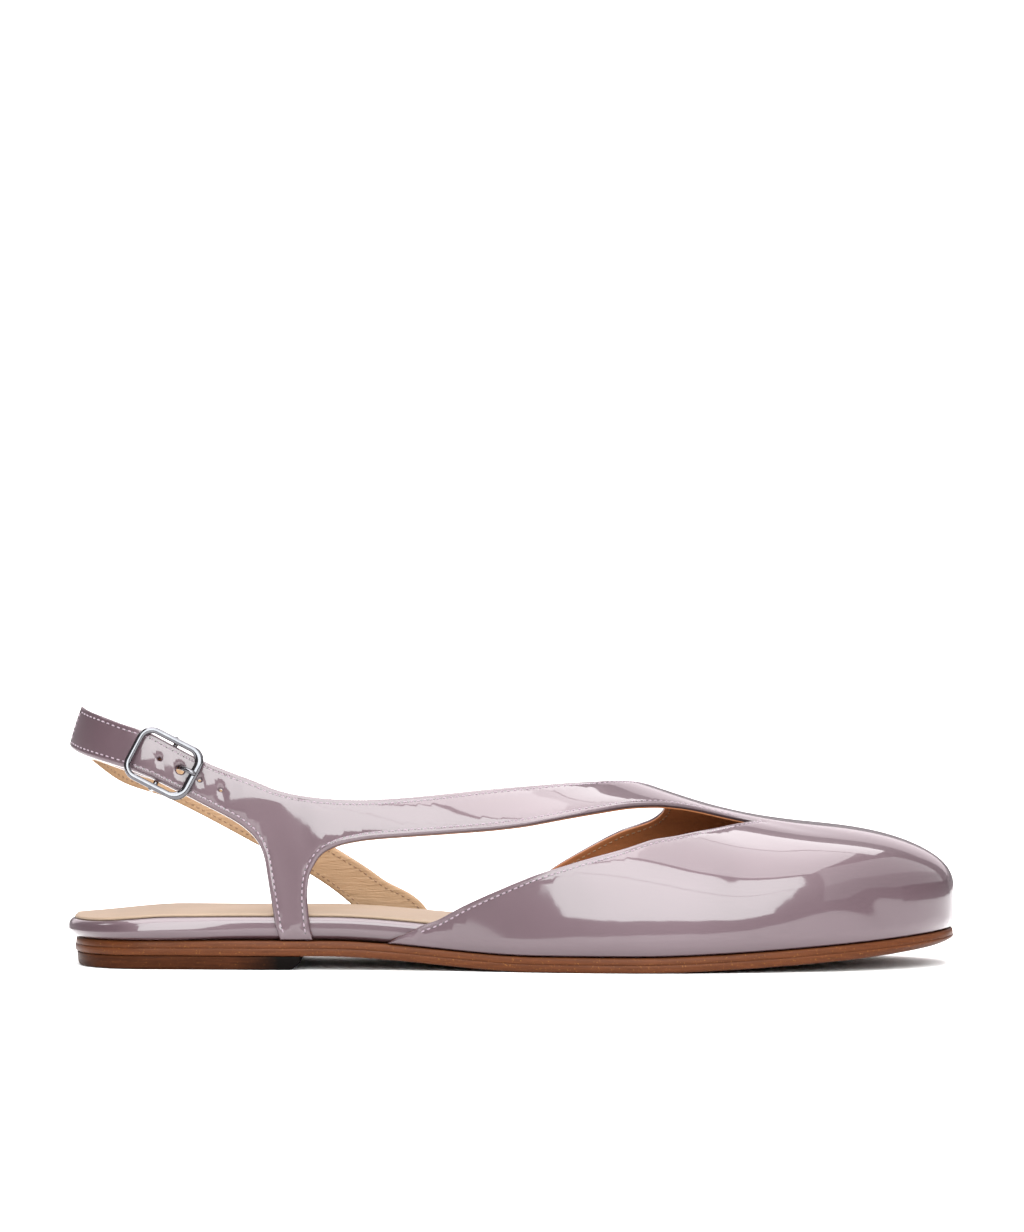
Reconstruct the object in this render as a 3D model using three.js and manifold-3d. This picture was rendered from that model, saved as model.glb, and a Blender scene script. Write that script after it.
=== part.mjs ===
// A flat slingback sandal for the right foot: closed round toe, one strap over the instep,
// a sling round the heel with a small buckle on the outer side, leather sole and low heel.
// Millimetres, +X to the toe, +Y to the inner side of the foot, +Z up, floor at z = 0.
import * as THREE from "three";
import Module from "manifold-3d";

const wasm = await Module();
wasm.setup();

// Overall sizes
const shoeLength = 250;
const ballWidth = 82;
const instepHeight = 55;
const half = shoeLength / 2;
const halfBall = ballWidth / 2;

// Sole
const liftThickness = 3.8;
const soleThickness = 4.2;
const toeParing = 4;
const paringStart = 0.72 * half;
const toeSpring = 6.3;
const soleInset = 0.5;
const soleHeelInset = 1.6;
const liftInset = 0.5;
const liftFront = -0.468 * half;
const liftCorner = 3;
const archFront = 0.064 * half;
const archLength = 0.48 * half;
const springStart = 0.28 * half;

// Footbed and sock
const footbedThickness = 6.3;
const sockThickness = 0.8;
const sockInset = 2.2;
const footbedClearance = 0.6;
const heelDip = 1.4;
const heelDipLength = 0.2 * half;

// Leather and clearances
const upperWall = 1.8;
const strapWall = 1.8;
const seat = 0.3;

// Buckle
const buckleLength = 19.8;
const buckleHeight = 16;
const buckleCorner = 4.5;
const buckleWire = 1.8;
const barWire = 1.4;
const prongWire = 1.3;
const eyeWire = 0.8;
const buckleStation = -0.771 * half;

// The form: toe fan, heel fan, height of the widest line and the tuck under it
const toeFan = 0.336 * half;
const toeStart = half - toeFan;
const heelFan = 0.2 * half;
const heelCentre = heelFan - half;
const slingFan = 0.228 * half;
const bellyRise = 4;
const tuckGirth = 0.08;
const tuckShare = 0.03;
const roundInstep = 2.2;
const roundToe = 2.8;
const wallInstep = 2.3;
const wallToe = 4.2;

// Sections of the form. along: share of half the length. outer, inner and lean: shares of
// half the ball width. crown: share of the instep height.
const sections = [
  { along: -0.8, outer: 0.663, inner: 0.663, crown: 1.82, lean: 0 },
  { along: -0.48, outer: 0.693, inner: 0.644, crown: 1.53, lean: 0 },
  { along: -0.2, outer: 0.756, inner: 0.622, crown: 1.22, lean: 0.05 },
  { along: 0, outer: 0.873, inner: 0.707, crown: 1.09, lean: 0.075 },
  { along: 0.176, outer: 0.971, inner: 0.841, crown: 1, lean: 0.1 },
  { along: 0.304, outer: 1, inner: 0.939, crown: 0.916, lean: 0.11 },
  { along: 0.432, outer: 0.99, inner: 0.976, crown: 0.822, lean: 0.12 },
  { along: 0.56, outer: 0.941, inner: 0.966, crown: 0.755, lean: 0.12 },
  { along: 0.704, outer: 0.855, inner: 0.908, crown: 0.715, lean: 0.12 },
  { along: 0.848, outer: 0.745, inner: 0.812, crown: 0.682, lean: 0.11 },
  { along: 1, outer: 0.61, inner: 0.69, crown: 0.625, lean: 0.1 },
];

// Edges of the upper on the form. along: share of half the length. girth: share of the way
// from the crown (0) to the widest line (1), below zero on the outer side.
const bottomGirth = 1 + tuckGirth;
const slingTop = [
  { along: -1.04, girth: -0.588 },
  { along: -0.92, girth: -0.616 },
  { along: -0.816, girth: -0.647 },
  { along: -0.679, girth: -0.692 },
  { along: -0.579, girth: -0.712 },
  { along: -0.513, girth: -0.724 },
  { along: -0.424, girth: -0.717 },
  { along: -0.336, girth: -0.689 },
  { along: -0.248, girth: -0.64 },
  { along: -0.071, girth: -0.513 },
  { along: 0.107, girth: -0.375 },
  { along: 0.196, girth: -0.28 },
  { along: 0.256, girth: -0.15 },
  { along: 0.303, girth: 0.05 },
  { along: 0.337, girth: 0.25 },
  { along: 0.35, girth: 0.44 },
  { along: 0.325, girth: 0.56 },
  { along: 0.249, girth: 0.66 },
  { along: 0.178, girth: 0.742 },
  { along: 0.097, girth: 0.824 },
  { along: 0.055, girth: 0.871 },
  { along: -0.03, girth: 0.97 },
  { along: -0.1, girth: bottomGirth },
];
const vampTop = [
  { along: -0.275, girth: -bottomGirth },
  { along: -0.222, girth: -1.002 },
  { along: -0.158, girth: -0.963 },
  { along: -0.114, girth: -0.929 },
  { along: -0.026, girth: -0.866 },
  { along: 0.053, girth: -0.811 },
  { along: 0.129, girth: -0.768 },
  { along: 0.248, girth: -0.695 },
  { along: 0.31, girth: -0.637 },
  { along: 0.368, girth: -0.588 },
  { along: 0.454, girth: -0.474 },
  { along: 0.51, girth: -0.373 },
  { along: 0.547, girth: -0.28 },
];
const strapLow = [
  { along: 0.505, girth: -0.275 },
  { along: 0.42, girth: -0.29 },
  { along: 0.343, girth: -0.358 },
  { along: 0.28, girth: -0.43 },
  { along: 0.194, girth: -0.52 },
  { along: 0.062, girth: -0.615 },
  { along: -0.026, girth: -0.664 },
  { along: -0.115, girth: -0.705 },
  { along: -0.247, girth: -0.765 },
  { along: -0.335, girth: -0.803 },
  { along: -0.385, girth: -0.828 },
  { along: -0.421, girth: -0.855 },
  { along: -0.437, girth: -0.879 },
  { along: -0.448, girth: -0.905 },
  { along: -0.452, girth: -0.946 },
  { along: -0.448, girth: -0.989 },
  { along: -0.44, girth: -bottomGirth },
];
const slingLow = [
  { along: -0.512, girth: -bottomGirth },
  { along: -0.522, girth: -1.006 },
  { along: -0.533, girth: -0.951 },
  { along: -0.54, girth: -0.915 },
  { along: -0.549, girth: -0.872 },
  { along: -0.562, girth: -0.845 },
  { along: -0.588, girth: -0.822 },
  { along: -0.627, girth: -0.803 },
  { along: -0.711, girth: -0.774 },
  { along: -0.79, girth: -0.75 },
  { along: -0.86, girth: -0.728 },
  { along: -1.08, girth: -0.688 },
];

// Back strap, from the buckle round the heel to the inner side of the sole. turn: share of
// half the length, measured along the strap from the middle of the heel, below zero on the
// outer side. high and low: girths of its edges. sink: how far it lies inside the form.
const strapTurns = [
  { turn: -0.365, high: 0.664, low: 0.746, sink: 2.5 },
  { turn: -0.3, high: 0.642, low: 0.732, sink: 2.45 },
  { turn: -0.22, high: 0.612, low: 0.711, sink: 2.6 },
  { turn: -0.1, high: 0.577, low: 0.69, sink: 2.8 },
  { turn: 0, high: 0.573, low: 0.69, sink: 2.9 },
  { turn: 0.1, high: 0.596, low: 0.711, sink: 2.6 },
  { turn: 0.2, high: 0.64, low: 0.752, sink: 2.2 },
  { turn: 0.306, high: 0.687, low: 0.787, sink: 1.3 },
  { turn: 0.398, high: 0.731, low: 0.82, sink: 0.65 },
  { turn: 0.512, high: 0.777, low: 0.865, sink: 0.15 },
  { turn: 0.65, high: 0.832, low: 0.922, sink: 0 },
  { turn: 0.707, high: 0.858, low: 0.953, sink: 0 },
  { turn: 0.756, high: 0.881, low: 0.988, sink: 0 },
  { turn: 0.8, high: 0.905, low: 1.04, sink: 0 },
  { turn: 0.82, high: 0.917, low: bottomGirth, sink: 0 },
  { turn: 0.926, high: 0.985, low: bottomGirth, sink: 0 },
  { turn: 0.97, high: bottomGirth - 0.01, low: bottomGirth, sink: 0 },
];
const slotWidth = 4;
const slotRise = 1.4;
const slotLength = 6.5;

// A smooth curve through a table's column, with continuous bending
function curveThrough(rows, key, column, keyScale, scale) {
  const xs = rows.map((row) => row[key] * keyScale);
  const ys = rows.map((row) => row[column] * scale);
  const last = xs.length - 1;
  const carry = new Array(last + 1).fill(0);
  const bend = new Array(last + 1).fill(0);
  const rest = new Array(last + 1).fill(0);
  for (let i = 1; i < last; i++) {
    const before = xs[i] - xs[i - 1];
    const after = xs[i + 1] - xs[i];
    const slopes = (ys[i + 1] - ys[i]) / after - (ys[i] - ys[i - 1]) / before;
    const pivot = 2 * (before + after) - before * carry[i - 1];
    carry[i] = after / pivot;
    rest[i] = (6 * slopes - before * rest[i - 1]) / pivot;
  }
  for (let i = last - 1; i > 0; i--) bend[i] = rest[i] - carry[i] * bend[i + 1];
  return (at) => {
    const x = Math.min(Math.max(at, xs[0]), xs[last]);
    let i = 0;
    while (i < last - 1 && x > xs[i + 1]) i += 1;
    const step = xs[i + 1] - xs[i];
    const t = (x - xs[i]) / step;
    const u = 1 - t;
    const line = u * ys[i] + t * ys[i + 1];
    return line + ((step * step) / 6) * ((u ** 3 - u) * bend[i] + (t ** 3 - t) * bend[i + 1]);
  };
}

function easeStep(t) {
  const c = Math.min(1, Math.max(0, t));
  return c * c * (3 - 2 * c);
}

const outerWidth = curveThrough(sections, "along", "outer", half, halfBall);
const innerWidth = curveThrough(sections, "along", "inner", half, halfBall);
const crownHeight = curveThrough(sections, "along", "crown", half, instepHeight);
const crownLean = curveThrough(sections, "along", "lean", half, halfBall);

function soleBottom(x) {
  const spring = Math.max(0, (x - springStart) / (half - springStart));
  return liftThickness * easeStep((archFront - x) / archLength) + toeSpring * spring ** 1.5;
}

function soleTop(x) {
  return soleBottom(x) + soleThickness;
}

function heelDrop(x) {
  return heelDip * easeStep((heelCentre + heelDipLength / 4 - x) / heelDipLength);
}

// Shape of one section at a distance from the crown: share of width and share of height
function sectionShape(along, distance) {
  const round = roundInstep + (roundToe - roundInstep) * easeStep((along / half) * 1.56);
  const toeShare = (along - 0.48 * half) / (0.36 * half);
  const wall = wallInstep + (wallToe - wallInstep) * easeStep(toeShare);
  if (distance > 1) {
    const under = (distance - 1) / tuckGirth;
    return { wide: 1 - tuckShare * under ** 3, high: 0, under };
  }
  const high = 1 - distance ** round;
  return { wide: (1 - high ** wall) ** (1 / round), high, under: 0, start: wall ** (1 / round) };
}

// A point of the form from its place on the pattern, a given depth inside the outer skin
function formPoint(station, girth, depth) {
  const ahead = Math.max(0, (station - toeStart) / toeFan);
  const across = Math.abs(girth);
  const distance = (ahead ** roundToe + across ** roundToe) ** (1 / roundToe);
  const reach = ahead > 0 ? distance : across;
  const shape = sectionShape(station, reach);
  const grow = reach > 1e-6 ? shape.wide / reach : shape.start;
  const x = station <= toeStart ? station : toeStart + (toeFan - depth) * grow * ahead;
  const row = Math.max(heelCentre, x);
  const lean = crownLean(row);
  const side = girth < 0 ? outerWidth(row) + lean : innerWidth(row) - lean;
  const offset = grow * across * (side - depth);
  const belly = soleTop(row) + seat + bellyRise;
  const z = belly + (crownHeight(row) - belly - depth) * shape.high - bellyRise * shape.under;
  if (x >= heelCentre) return [x, lean + Math.sign(girth) * offset, z];
  // Behind the heel centre the section turns about an upright axis
  const turn = ((heelCentre - x) / heelFan) * Math.sign(girth);
  const back = grow * across * (slingFan - depth);
  return [heelCentre - back * Math.abs(Math.sin(turn)), Math.sign(girth) * offset * Math.cos(turn), z];
}

// The same point from the distance round the heel, as the back strap is laid
const quarterTurn = (Math.PI / 2) * heelFan;
function wrapPoint(turn, girth, depth) {
  const sign = turn < 0 ? -1 : 1;
  return formPoint(heelCentre - quarterTurn + Math.abs(turn), sign * girth, depth);
}

// Joins points and triangles into a closed geometry, with shared corners merged
function meshFrom(points, faces) {
  const seen = new Map();
  const kept = [];
  const index = points.map((p) => {
    const name = p.map((c) => Math.round(c * 1e4)).join(",");
    if (!seen.has(name)) {
      seen.set(name, kept.length / 3);
      kept.push(p[0], p[1], p[2]);
    }
    return seen.get(name);
  });
  const whole = faces
    .map((face) => face.map((i) => index[i]))
    .filter(([a, b, c]) => a !== b && b !== c && c !== a);
  const geometry = new THREE.BufferGeometry();
  geometry.setAttribute("position", new THREE.Float32BufferAttribute(kept, 3));
  geometry.setIndex(whole.flat());
  return geometry;
}

function solidFrom(points, faces) {
  const geometry = meshFrom(points, faces);
  const vertProperties = new Float32Array(geometry.attributes.position.array);
  const triVerts = new Uint32Array(geometry.index.array);
  return new wasm.Manifold(new wasm.Mesh({ numProp: 3, vertProperties, triVerts }));
}

function solidOf(geometry) {
  const at = geometry.attributes.position;
  const corners = Array.from({ length: at.count }, (_, i) => [at.getX(i), at.getY(i), at.getZ(i)]);
  const order = geometry.index ? Array.from(geometry.index.array) : corners.map((_, i) => i);
  const faces = [];
  for (let i = 0; i < order.length; i += 3) faces.push(order.slice(i, i + 3));
  return solidFrom(corners, faces);
}

function pointsAndFaces(solid) {
  const { vertProperties, triVerts, numProp } = solid.getMesh();
  const points = [];
  for (let i = 0; i < vertProperties.length; i += numProp) {
    points.push([vertProperties[i], vertProperties[i + 1], vertProperties[i + 2]]);
  }
  const faces = [];
  for (let i = 0; i < triVerts.length; i += 3) faces.push(Array.from(triVerts.slice(i, i + 3)));
  return { points, faces };
}

// A flat pattern piece: a gently domed slab of cells, cut to the outline and then laid on
// the form, its upper face on the outer skin and its lower face on the inner skin.
const girthScale = 60;
const dome = 0.003;
const slabThickness = 20;
function patternSlab(stations, girths) {
  const points = [];
  const faces = [];
  const across = girths.length;
  for (const level of [1, -1]) {
    for (const s of stations) {
      for (const g of girths) {
        const y = g * girthScale;
        points.push([s, y, level * (slabThickness - dome * (s * s + y * y) * 0.1)]);
      }
    }
  }
  const below = stations.length * across;
  const at = (i, j) => i * across + j;
  for (let i = 0; i < stations.length - 1; i++) {
    for (let j = 0; j < across - 1; j++) {
      const [a, b, c, d] = [at(i, j), at(i + 1, j), at(i + 1, j + 1), at(i, j + 1)];
      faces.push([a, b, c], [a, c, d], [below + a, below + c, below + b], [below + a, below + d, below + c]);
    }
  }
  const rim = [];
  for (let i = 0; i < stations.length - 1; i++) rim.push(at(i, 0));
  for (let j = 0; j < across - 1; j++) rim.push(at(stations.length - 1, j));
  for (let i = stations.length - 1; i > 0; i--) rim.push(at(i, across - 1));
  for (let j = across - 1; j > 0; j--) rim.push(at(0, j));
  rim.forEach((a, i) => {
    const b = rim[(i + 1) % rim.length];
    faces.push([a, below + a, below + b], [a, below + b, b]);
  });
  return solidFrom(points, faces);
}

function outlinePrism(outline) {
  const shape = new THREE.Shape(outline.map(([s, g]) => new THREE.Vector2(s, g * girthScale)));
  const prism = new THREE.ExtrudeGeometry(shape, { depth: 4 * slabThickness, bevelEnabled: false });
  prism.translate(0, 0, -2 * slabThickness);
  return solidOf(prism);
}

function laidOnForm(slab, place) {
  const { points, faces } = pointsAndFaces(slab);
  return meshFrom(points.map(([s, y, level]) => place(s, y / girthScale, level > 0)), faces);
}

// Evenly spaced places on a smooth line through a table's rows
function edgeLine(rows, spacing) {
  const line = new THREE.CatmullRomCurve3(
    rows.map((row) => new THREE.Vector3(row.along * half, row.girth * girthScale, 0)),
    false,
    "centripetal",
  );
  const steps = Math.max(2, Math.round(line.getLength() / spacing));
  return line.getSpacedPoints(steps).map((p) => [p.x, p.y / girthScale]);
}

function evenly(from, to, steps) {
  return Array.from({ length: steps + 1 }, (_, i) => from + ((to - from) * i) / steps);
}

// The hole in the sling that takes the prong
const prongStation = -0.735 * half;
const prongHoleRadius = 1.8;
function strapMiddle(station) {
  const [, , topZ] = formPoint(station, edgeTop(station), 0);
  const [, , lowZ] = formPoint(station, edgeLow(station), 0);
  return { girth: (edgeTop(station) + edgeLow(station)) / 2, height: (topZ + lowZ) / 2 };
}
const edgeTop = curveThrough(slingTop.slice(0, 12), "along", "girth", half, 1);
const edgeLow = curveThrough([...slingLow.slice(7)].reverse(), "along", "girth", half, 1);

// Length on the form of one whole girth, at the strap's middle
function girthLength(station) {
  const { girth } = strapMiddle(station);
  const [, y, z] = formPoint(station, girth, 0);
  const [, nearY, nearZ] = formPoint(station, girth - 0.01, 0);
  return Math.hypot(nearY - y, nearZ - z) / 0.01;
}

function roundHole(station, radius) {
  const { girth } = strapMiddle(station);
  const perGirth = girthLength(station);
  return evenly(0, 2 * Math.PI, 10)
    .slice(0, -1)
    .map((a) => [station + radius * Math.cos(a), girth + (radius * Math.sin(a)) / perGirth]);
}

function upper() {
  const toeEnd = evenly(0, Math.PI / 2, 14)
    .slice(0, -1)
    .map((a) => [
      toeStart + toeFan * bottomGirth * Math.sin(a) ** (2 / roundToe),
      bottomGirth * Math.cos(a) ** (2 / roundToe),
    ]);
  const inner = toeEnd.slice(1);
  const outer = [...inner].reverse().map(([s, g]) => [s, -g]);
  const tip = [[toeStart + toeFan * bottomGirth, 0]];
  const topline = edgeLine(slingTop, 4);
  const innerFoot = evenly(slingTop.at(-1).along * half, toeStart, 24).slice(1);
  const outerFoot = evenly(toeStart, vampTop[0].along * half, 30).slice(0, -1);
  const tabFoot = evenly(strapLow.at(-1).along * half, slingLow[0].along * half, 3).slice(1, -1);
  const outline = [
    ...topline,
    ...innerFoot.map((s) => [s, bottomGirth]),
    ...inner,
    ...tip,
    ...outer,
    ...outerFoot.map((s) => [s, -bottomGirth]),
    ...edgeLine(vampTop, 4.5),
    ...edgeLine(strapLow, 4.5),
    ...tabFoot.map((s) => [s, -bottomGirth]),
    ...edgeLine(slingLow, 4),
  ];
  const stations = evenly(-1.1 * half, 1.04 * half, 54);
  const girths = evenly(-1.1, 1.1, 30);
  let slab = patternSlab(stations, girths).intersect(outlinePrism(outline));
  const hole = roundHole(prongStation, prongHoleRadius);
  slab = slab.subtract(outlinePrism(hole));
  return laidOnForm(slab, (s, g, outside) => formPoint(s, g, outside ? 0 : upperWall));
}

function backStrap() {
  const high = curveThrough(strapTurns, "turn", "high", half, 1);
  const low = curveThrough(strapTurns, "turn", "low", half, 1);
  const sink = curveThrough(strapTurns, "turn", "sink", half, upperWall + seat);
  const first = strapTurns[0].turn * half;
  const lastTop = strapTurns.at(-1).turn * half;
  const lastLow = strapTurns.at(-3).turn * half;
  const slot = (slotWidth / 2) / girthLength(buckleStation);
  const slotEnd = first + slotLength;
  const rise = slotRise / girthLength(buckleStation);
  const middle = (turn) => -strapMiddle(heelCentre - quarterTurn - turn).girth - rise;
  const outline = [
    ...evenly(first, lastLow, 46).map((s) => [s, low(s)]),
    ...evenly(lastLow, lastTop, 4).slice(1).map((s) => [s, bottomGirth]),
    ...evenly(lastTop, first, 54).slice(1).map((s) => [s, high(s)]),
    [first, middle(first) - slot],
    [slotEnd, middle(slotEnd) - slot],
    [slotEnd, middle(slotEnd) + slot],
    [first, middle(first) + slot],
  ];
  const slab = patternSlab(evenly(-0.4 * half, half, 48), evenly(0.55, 1.1, 12));
  const cut = slab.intersect(outlinePrism(outline));
  return laidOnForm(cut, (s, g, outside) => wrapPoint(s, g, sink(s) + (outside ? 0 : strapWall)));
}

// Rungs of the sole outline: x with the outer and inner edge, a given inset inside the form
const endRungs = 9;
const sideRungs = 22;
function soleRungs(insetAt, front = half) {
  const rungs = [];
  const heelInset = insetAt(heelCentre);
  const toeInset = insetAt(half);
  const edges = (x, share) => {
    const row = Math.max(heelCentre, x);
    const lean = crownLean(row);
    const inset = insetAt(row);
    rungs.push([
      x,
      lean - share * (outerWidth(row) + lean - inset),
      lean + share * (innerWidth(row) - lean - inset),
    ]);
  };
  for (const a of evenly(Math.PI / 2, 0, endRungs).slice(0, -1)) {
    const behind = (heelFan - heelInset) * Math.sin(a) ** (2 / roundInstep);
    edges(heelCentre - behind, Math.cos(a) ** (2 / roundInstep));
  }
  const sideEnd = Math.min(toeStart, front);
  const count = Math.round((sideRungs * (sideEnd - heelCentre)) / (toeStart - heelCentre));
  for (const x of evenly(heelCentre, sideEnd, count)) edges(x, 1);
  if (front < half) return rungs;
  for (const a of evenly(0, Math.PI / 2, endRungs).slice(1)) {
    edges(toeStart + (toeFan - toeInset) * Math.sin(a) ** (2 / roundToe), Math.cos(a) ** (2 / roundToe));
  }
  return rungs;
}

// A layer of the sole: its edge steps through levels, each with an inset and a height
function soleLayer(levels) {
  const points = [];
  const faces = [];
  const rings = levels.map(({ inset, height, front }) => {
    const rungs = soleRungs(inset, front);
    const ring = [...rungs.map(([x, y]) => [x, y]), ...[...rungs].reverse().map(([x, , y]) => [x, y])];
    const start = points.length;
    ring.forEach(([x, y]) => points.push([x, y, height(x)]));
    return { start, size: ring.length };
  });
  const size = rings[0].size;
  for (let level = 0; level < rings.length - 1; level++) {
    for (let i = 0; i < size; i++) {
      const j = (i + 1) % size;
      const [a, b] = [rings[level].start + i, rings[level].start + j];
      const [c, d] = [rings[level + 1].start + i, rings[level + 1].start + j];
      faces.push([a, b, d], [a, d, c]);
    }
  }
  const cap = (start, flip) => {
    for (let i = 0; i < size / 2 - 1; i++) {
      const [a, b] = [start + i, start + i + 1];
      const [c, d] = [start + size - 1 - i, start + size - 2 - i];
      const pair = [[a, d, b], [a, c, d]];
      pair.forEach((face) => faces.push(flip ? [...face].reverse() : face));
    }
  };
  cap(rings[0].start, false);
  cap(rings.at(-1).start, true);
  return meshFrom(points, faces);
}

function pastHeel(x) {
  return easeStep((x - heelCentre) / (heelFan * 1.2));
}

function soleEdge(x) {
  return soleInset + soleHeelInset * (1 - pastHeel(x));
}

// The lower edge of the outsole is pared away toward the tip of the toe
function tipParing(x) {
  return toeParing * easeStep((x - paringStart) / (half - paringStart));
}

function outsole() {
  const edge = (rise, inset, pared) => ({
    inset: (x) => soleEdge(x) + inset + pared * tipParing(x),
    height: (x) => soleBottom(x) + rise * soleThickness,
  });
  return soleLayer([
    edge(0, 1, 1),
    edge(0.14, 0.1, 0.55),
    edge(0.3, 0, 0.2),
    edge(0.52, 0, 0),
    edge(0.58, 0.4, 0),
    edge(1, 0.5, 0),
  ]);
}

function heelLift() {
  const top = liftThickness - seat;
  const edge = (rise, inset, back) => ({
    inset: (x) => soleEdge(x) + liftInset + inset,
    height: () => rise * top,
    front: liftFront - back * liftCorner,
  });
  return soleLayer([edge(0, 0.9, 1), edge(0.2, 0.5, 0.4), edge(0.55, 0.2, 0.08), edge(1, 0, 0)]);
}

function footbedEdge(x) {
  return (upperWall + footbedClearance) * pastHeel(x);
}

function footbed() {
  const edge = (rise, inset) => ({
    inset: (x) => footbedEdge(x) + inset,
    height: (x) => soleTop(x) + seat + rise * (footbedThickness - heelDrop(x)),
  });
  return soleLayer([
    edge(0, 1.6),
    edge(0.18, 0.5),
    edge(0.4, 0),
    edge(0.7, 0.8),
    edge(0.92, 1.5),
    edge(1, 1.9),
  ]);
}

function sock() {
  const base = (x) => soleTop(x) + 2 * seat + footbedThickness - heelDrop(x);
  const edge = (rise, inset) => ({
    inset: (x) => footbedEdge(x) + sockInset + inset,
    height: (x) => base(x) + rise * sockThickness,
  });
  return soleLayer([edge(0, 0), edge(1, 0.3)]);
}

// Buckle, in its own frame: X along the strap to the toe, Y up across it, Z out from the foot
function wireAlong(curve, radius, steps) {
  const ring = new THREE.Shape();
  ring.absarc(0, 0, radius, 0, 2 * Math.PI, false);
  const settings = { extrudePath: curve, steps, curveSegments: 4, bevelEnabled: false };
  return new THREE.ExtrudeGeometry(ring, settings);
}

function frameLoop() {
  const long = buckleLength / 2 - buckleWire / 2;
  const tall = buckleHeight / 2 - buckleWire / 2;
  const round = buckleCorner - buckleWire / 2;
  const corners = [[1, 1, 0], [-1, 1, 1], [-1, -1, 2], [1, -1, 3]];
  const path = [];
  for (const [sx, sy, quarter] of corners) {
    for (const a of evenly(0, Math.PI / 2, 5)) {
      const turn = a + (quarter * Math.PI) / 2;
      path.push([
        sx * (long - round) + round * Math.cos(turn),
        sy * (tall - round) + round * Math.sin(turn),
      ]);
    }
  }
  return path;
}

const wireSides = 8;
function buckleRing() {
  const path = frameLoop();
  const points = [];
  const faces = [];
  path.forEach(([x, y], i) => {
    const [px, py] = path[(i + path.length - 1) % path.length];
    const [nx, ny] = path[(i + 1) % path.length];
    const along = new THREE.Vector2(nx - px, ny - py).normalize();
    const broad = x > buckleLength / 4 ? 1.35 : 1;
    for (let k = 0; k < wireSides; k++) {
      const a = ((k + 0.5) / wireSides) * 2 * Math.PI;
      const out = (Math.cos(a) * buckleWire * broad) / 2;
      points.push([x + along.y * out, y - along.x * out, (Math.sin(a) * buckleWire) / 2]);
    }
  });
  const at = (i, k) => (i % path.length) * wireSides + (k % wireSides);
  for (let i = 0; i < path.length; i++) {
    for (let k = 0; k < wireSides; k++) {
      const [a, b, c, d] = [at(i, k), at(i + 1, k), at(i + 1, k + 1), at(i, k + 1)];
      faces.push([a, b, c], [a, c, d]);
    }
  }
  return solidFrom(points, faces);
}

const prongGap = 0.2;
const eyeRadius = barWire / 2 + prongGap + eyeWire / 2;
const bendRoom = 0.25;
const barDrop = buckleWire / 2 + 2 * seat + upperWall + bendRoom + eyeRadius + eyeWire / 2;
const legReach = buckleHeight / 2 - buckleWire / 2;
const legThickness = 0.8;
const legOut = 0.5;
// The frame hangs a little low on the strap, so the prong crosses it above its middle
const buckleSag = 1.2;
function buckleFrame() {
  const barLength = 2 * (legReach + legOut) + legThickness;
  const bar = new THREE.CylinderGeometry(barWire / 2, barWire / 2, barLength, 10);
  bar.translate(0, 0, -barDrop);
  let frame = buckleRing().add(solidOf(bar));
  for (const end of [-1, 1]) {
    const leg = new THREE.BoxGeometry(barWire, legThickness, barDrop + barWire / 2);
    leg.translate(0, end * (legReach + legOut), -barDrop / 2);
    frame = frame.add(solidOf(leg));
  }
  return pointsAndFaces(frame);
}

function prong() {
  const holeX = prongStation - buckleStation;
  const rest = buckleWire / 2 + prongWire / 2 + seat;
  const tip = buckleLength / 2 + 0.2;
  const curve = new THREE.CatmullRomCurve3(
    [
      [eyeRadius + eyeWire / 4, -barDrop],
      [holeX * 0.65, -barDrop],
      [holeX * 0.95, -barDrop + 1.5],
      [holeX + 0.2, -barDrop / 2],
      [holeX + 0.7, -0.4],
      [holeX + 2, rest - 0.5],
      [tip - 2.2, rest + 0.15],
      [tip, rest],
    ].map(([x, z]) => new THREE.Vector3(x, buckleSag, z)),
    false,
    "centripetal",
  );
  const shank = solidOf(wireAlong(curve, prongWire / 2, 20));
  const loop = new THREE.TorusGeometry(eyeRadius, eyeWire / 2, 8, 14);
  loop.rotateX(Math.PI / 2);
  loop.translate(0, buckleSag, -barDrop);
  return pointsAndFaces(solidOf(loop).add(shank));
}

function buckleTilt() {
  const ahead = prongStation;
  const drop = strapMiddle(buckleStation).height - strapMiddle(ahead).height;
  return Math.atan2(drop, ahead - buckleStation);
}

// Sets a buckle piece on the strap, at its place and tilt
function onStrap({ points, faces }) {
  const girth = strapMiddle(buckleStation).girth - buckleSag / girthLength(buckleStation);
  const centre = formPoint(buckleStation, girth, 0);
  const lower = formPoint(buckleStation, girth - 0.02, 0);
  const slope = Math.atan2(lower[1] - centre[1], centre[2] - lower[2]);
  const ahead = formPoint(buckleStation + 4, girth, 0);
  const yaw = Math.atan2(ahead[1] - centre[1], ahead[0] - centre[0]);
  const spin = new THREE.Matrix4()
    .makeRotationZ(yaw)
    .multiply(new THREE.Matrix4().makeRotationX(slope))
    .multiply(new THREE.Matrix4().makeRotationY(buckleTilt()))
    .multiply(new THREE.Matrix4().makeRotationX(Math.PI / 2));
  const move = new THREE.Vector3(centre[0], centre[1], centre[2]);
  const placed = points.map((p) => {
    const v = new THREE.Vector3(p[0], p[1], p[2] + buckleWire / 2 + seat).applyMatrix4(spin).add(move);
    return [v.x, v.y, v.z];
  });
  return meshFrom(placed, faces);
}

const patent = { color: 0x9c8792, roughness: 0.12, metalness: 0 };
const tan = { color: 0xcdb09a, roughness: 0.7, metalness: 0 };
const brown = { color: 0x8a573f, roughness: 0.45, metalness: 0 };
const dark = { color: 0x5c3a2c, roughness: 0.45, metalness: 0 };
const steel = { color: 0xc9c9cb, roughness: 0.12, metalness: 1 };

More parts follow.
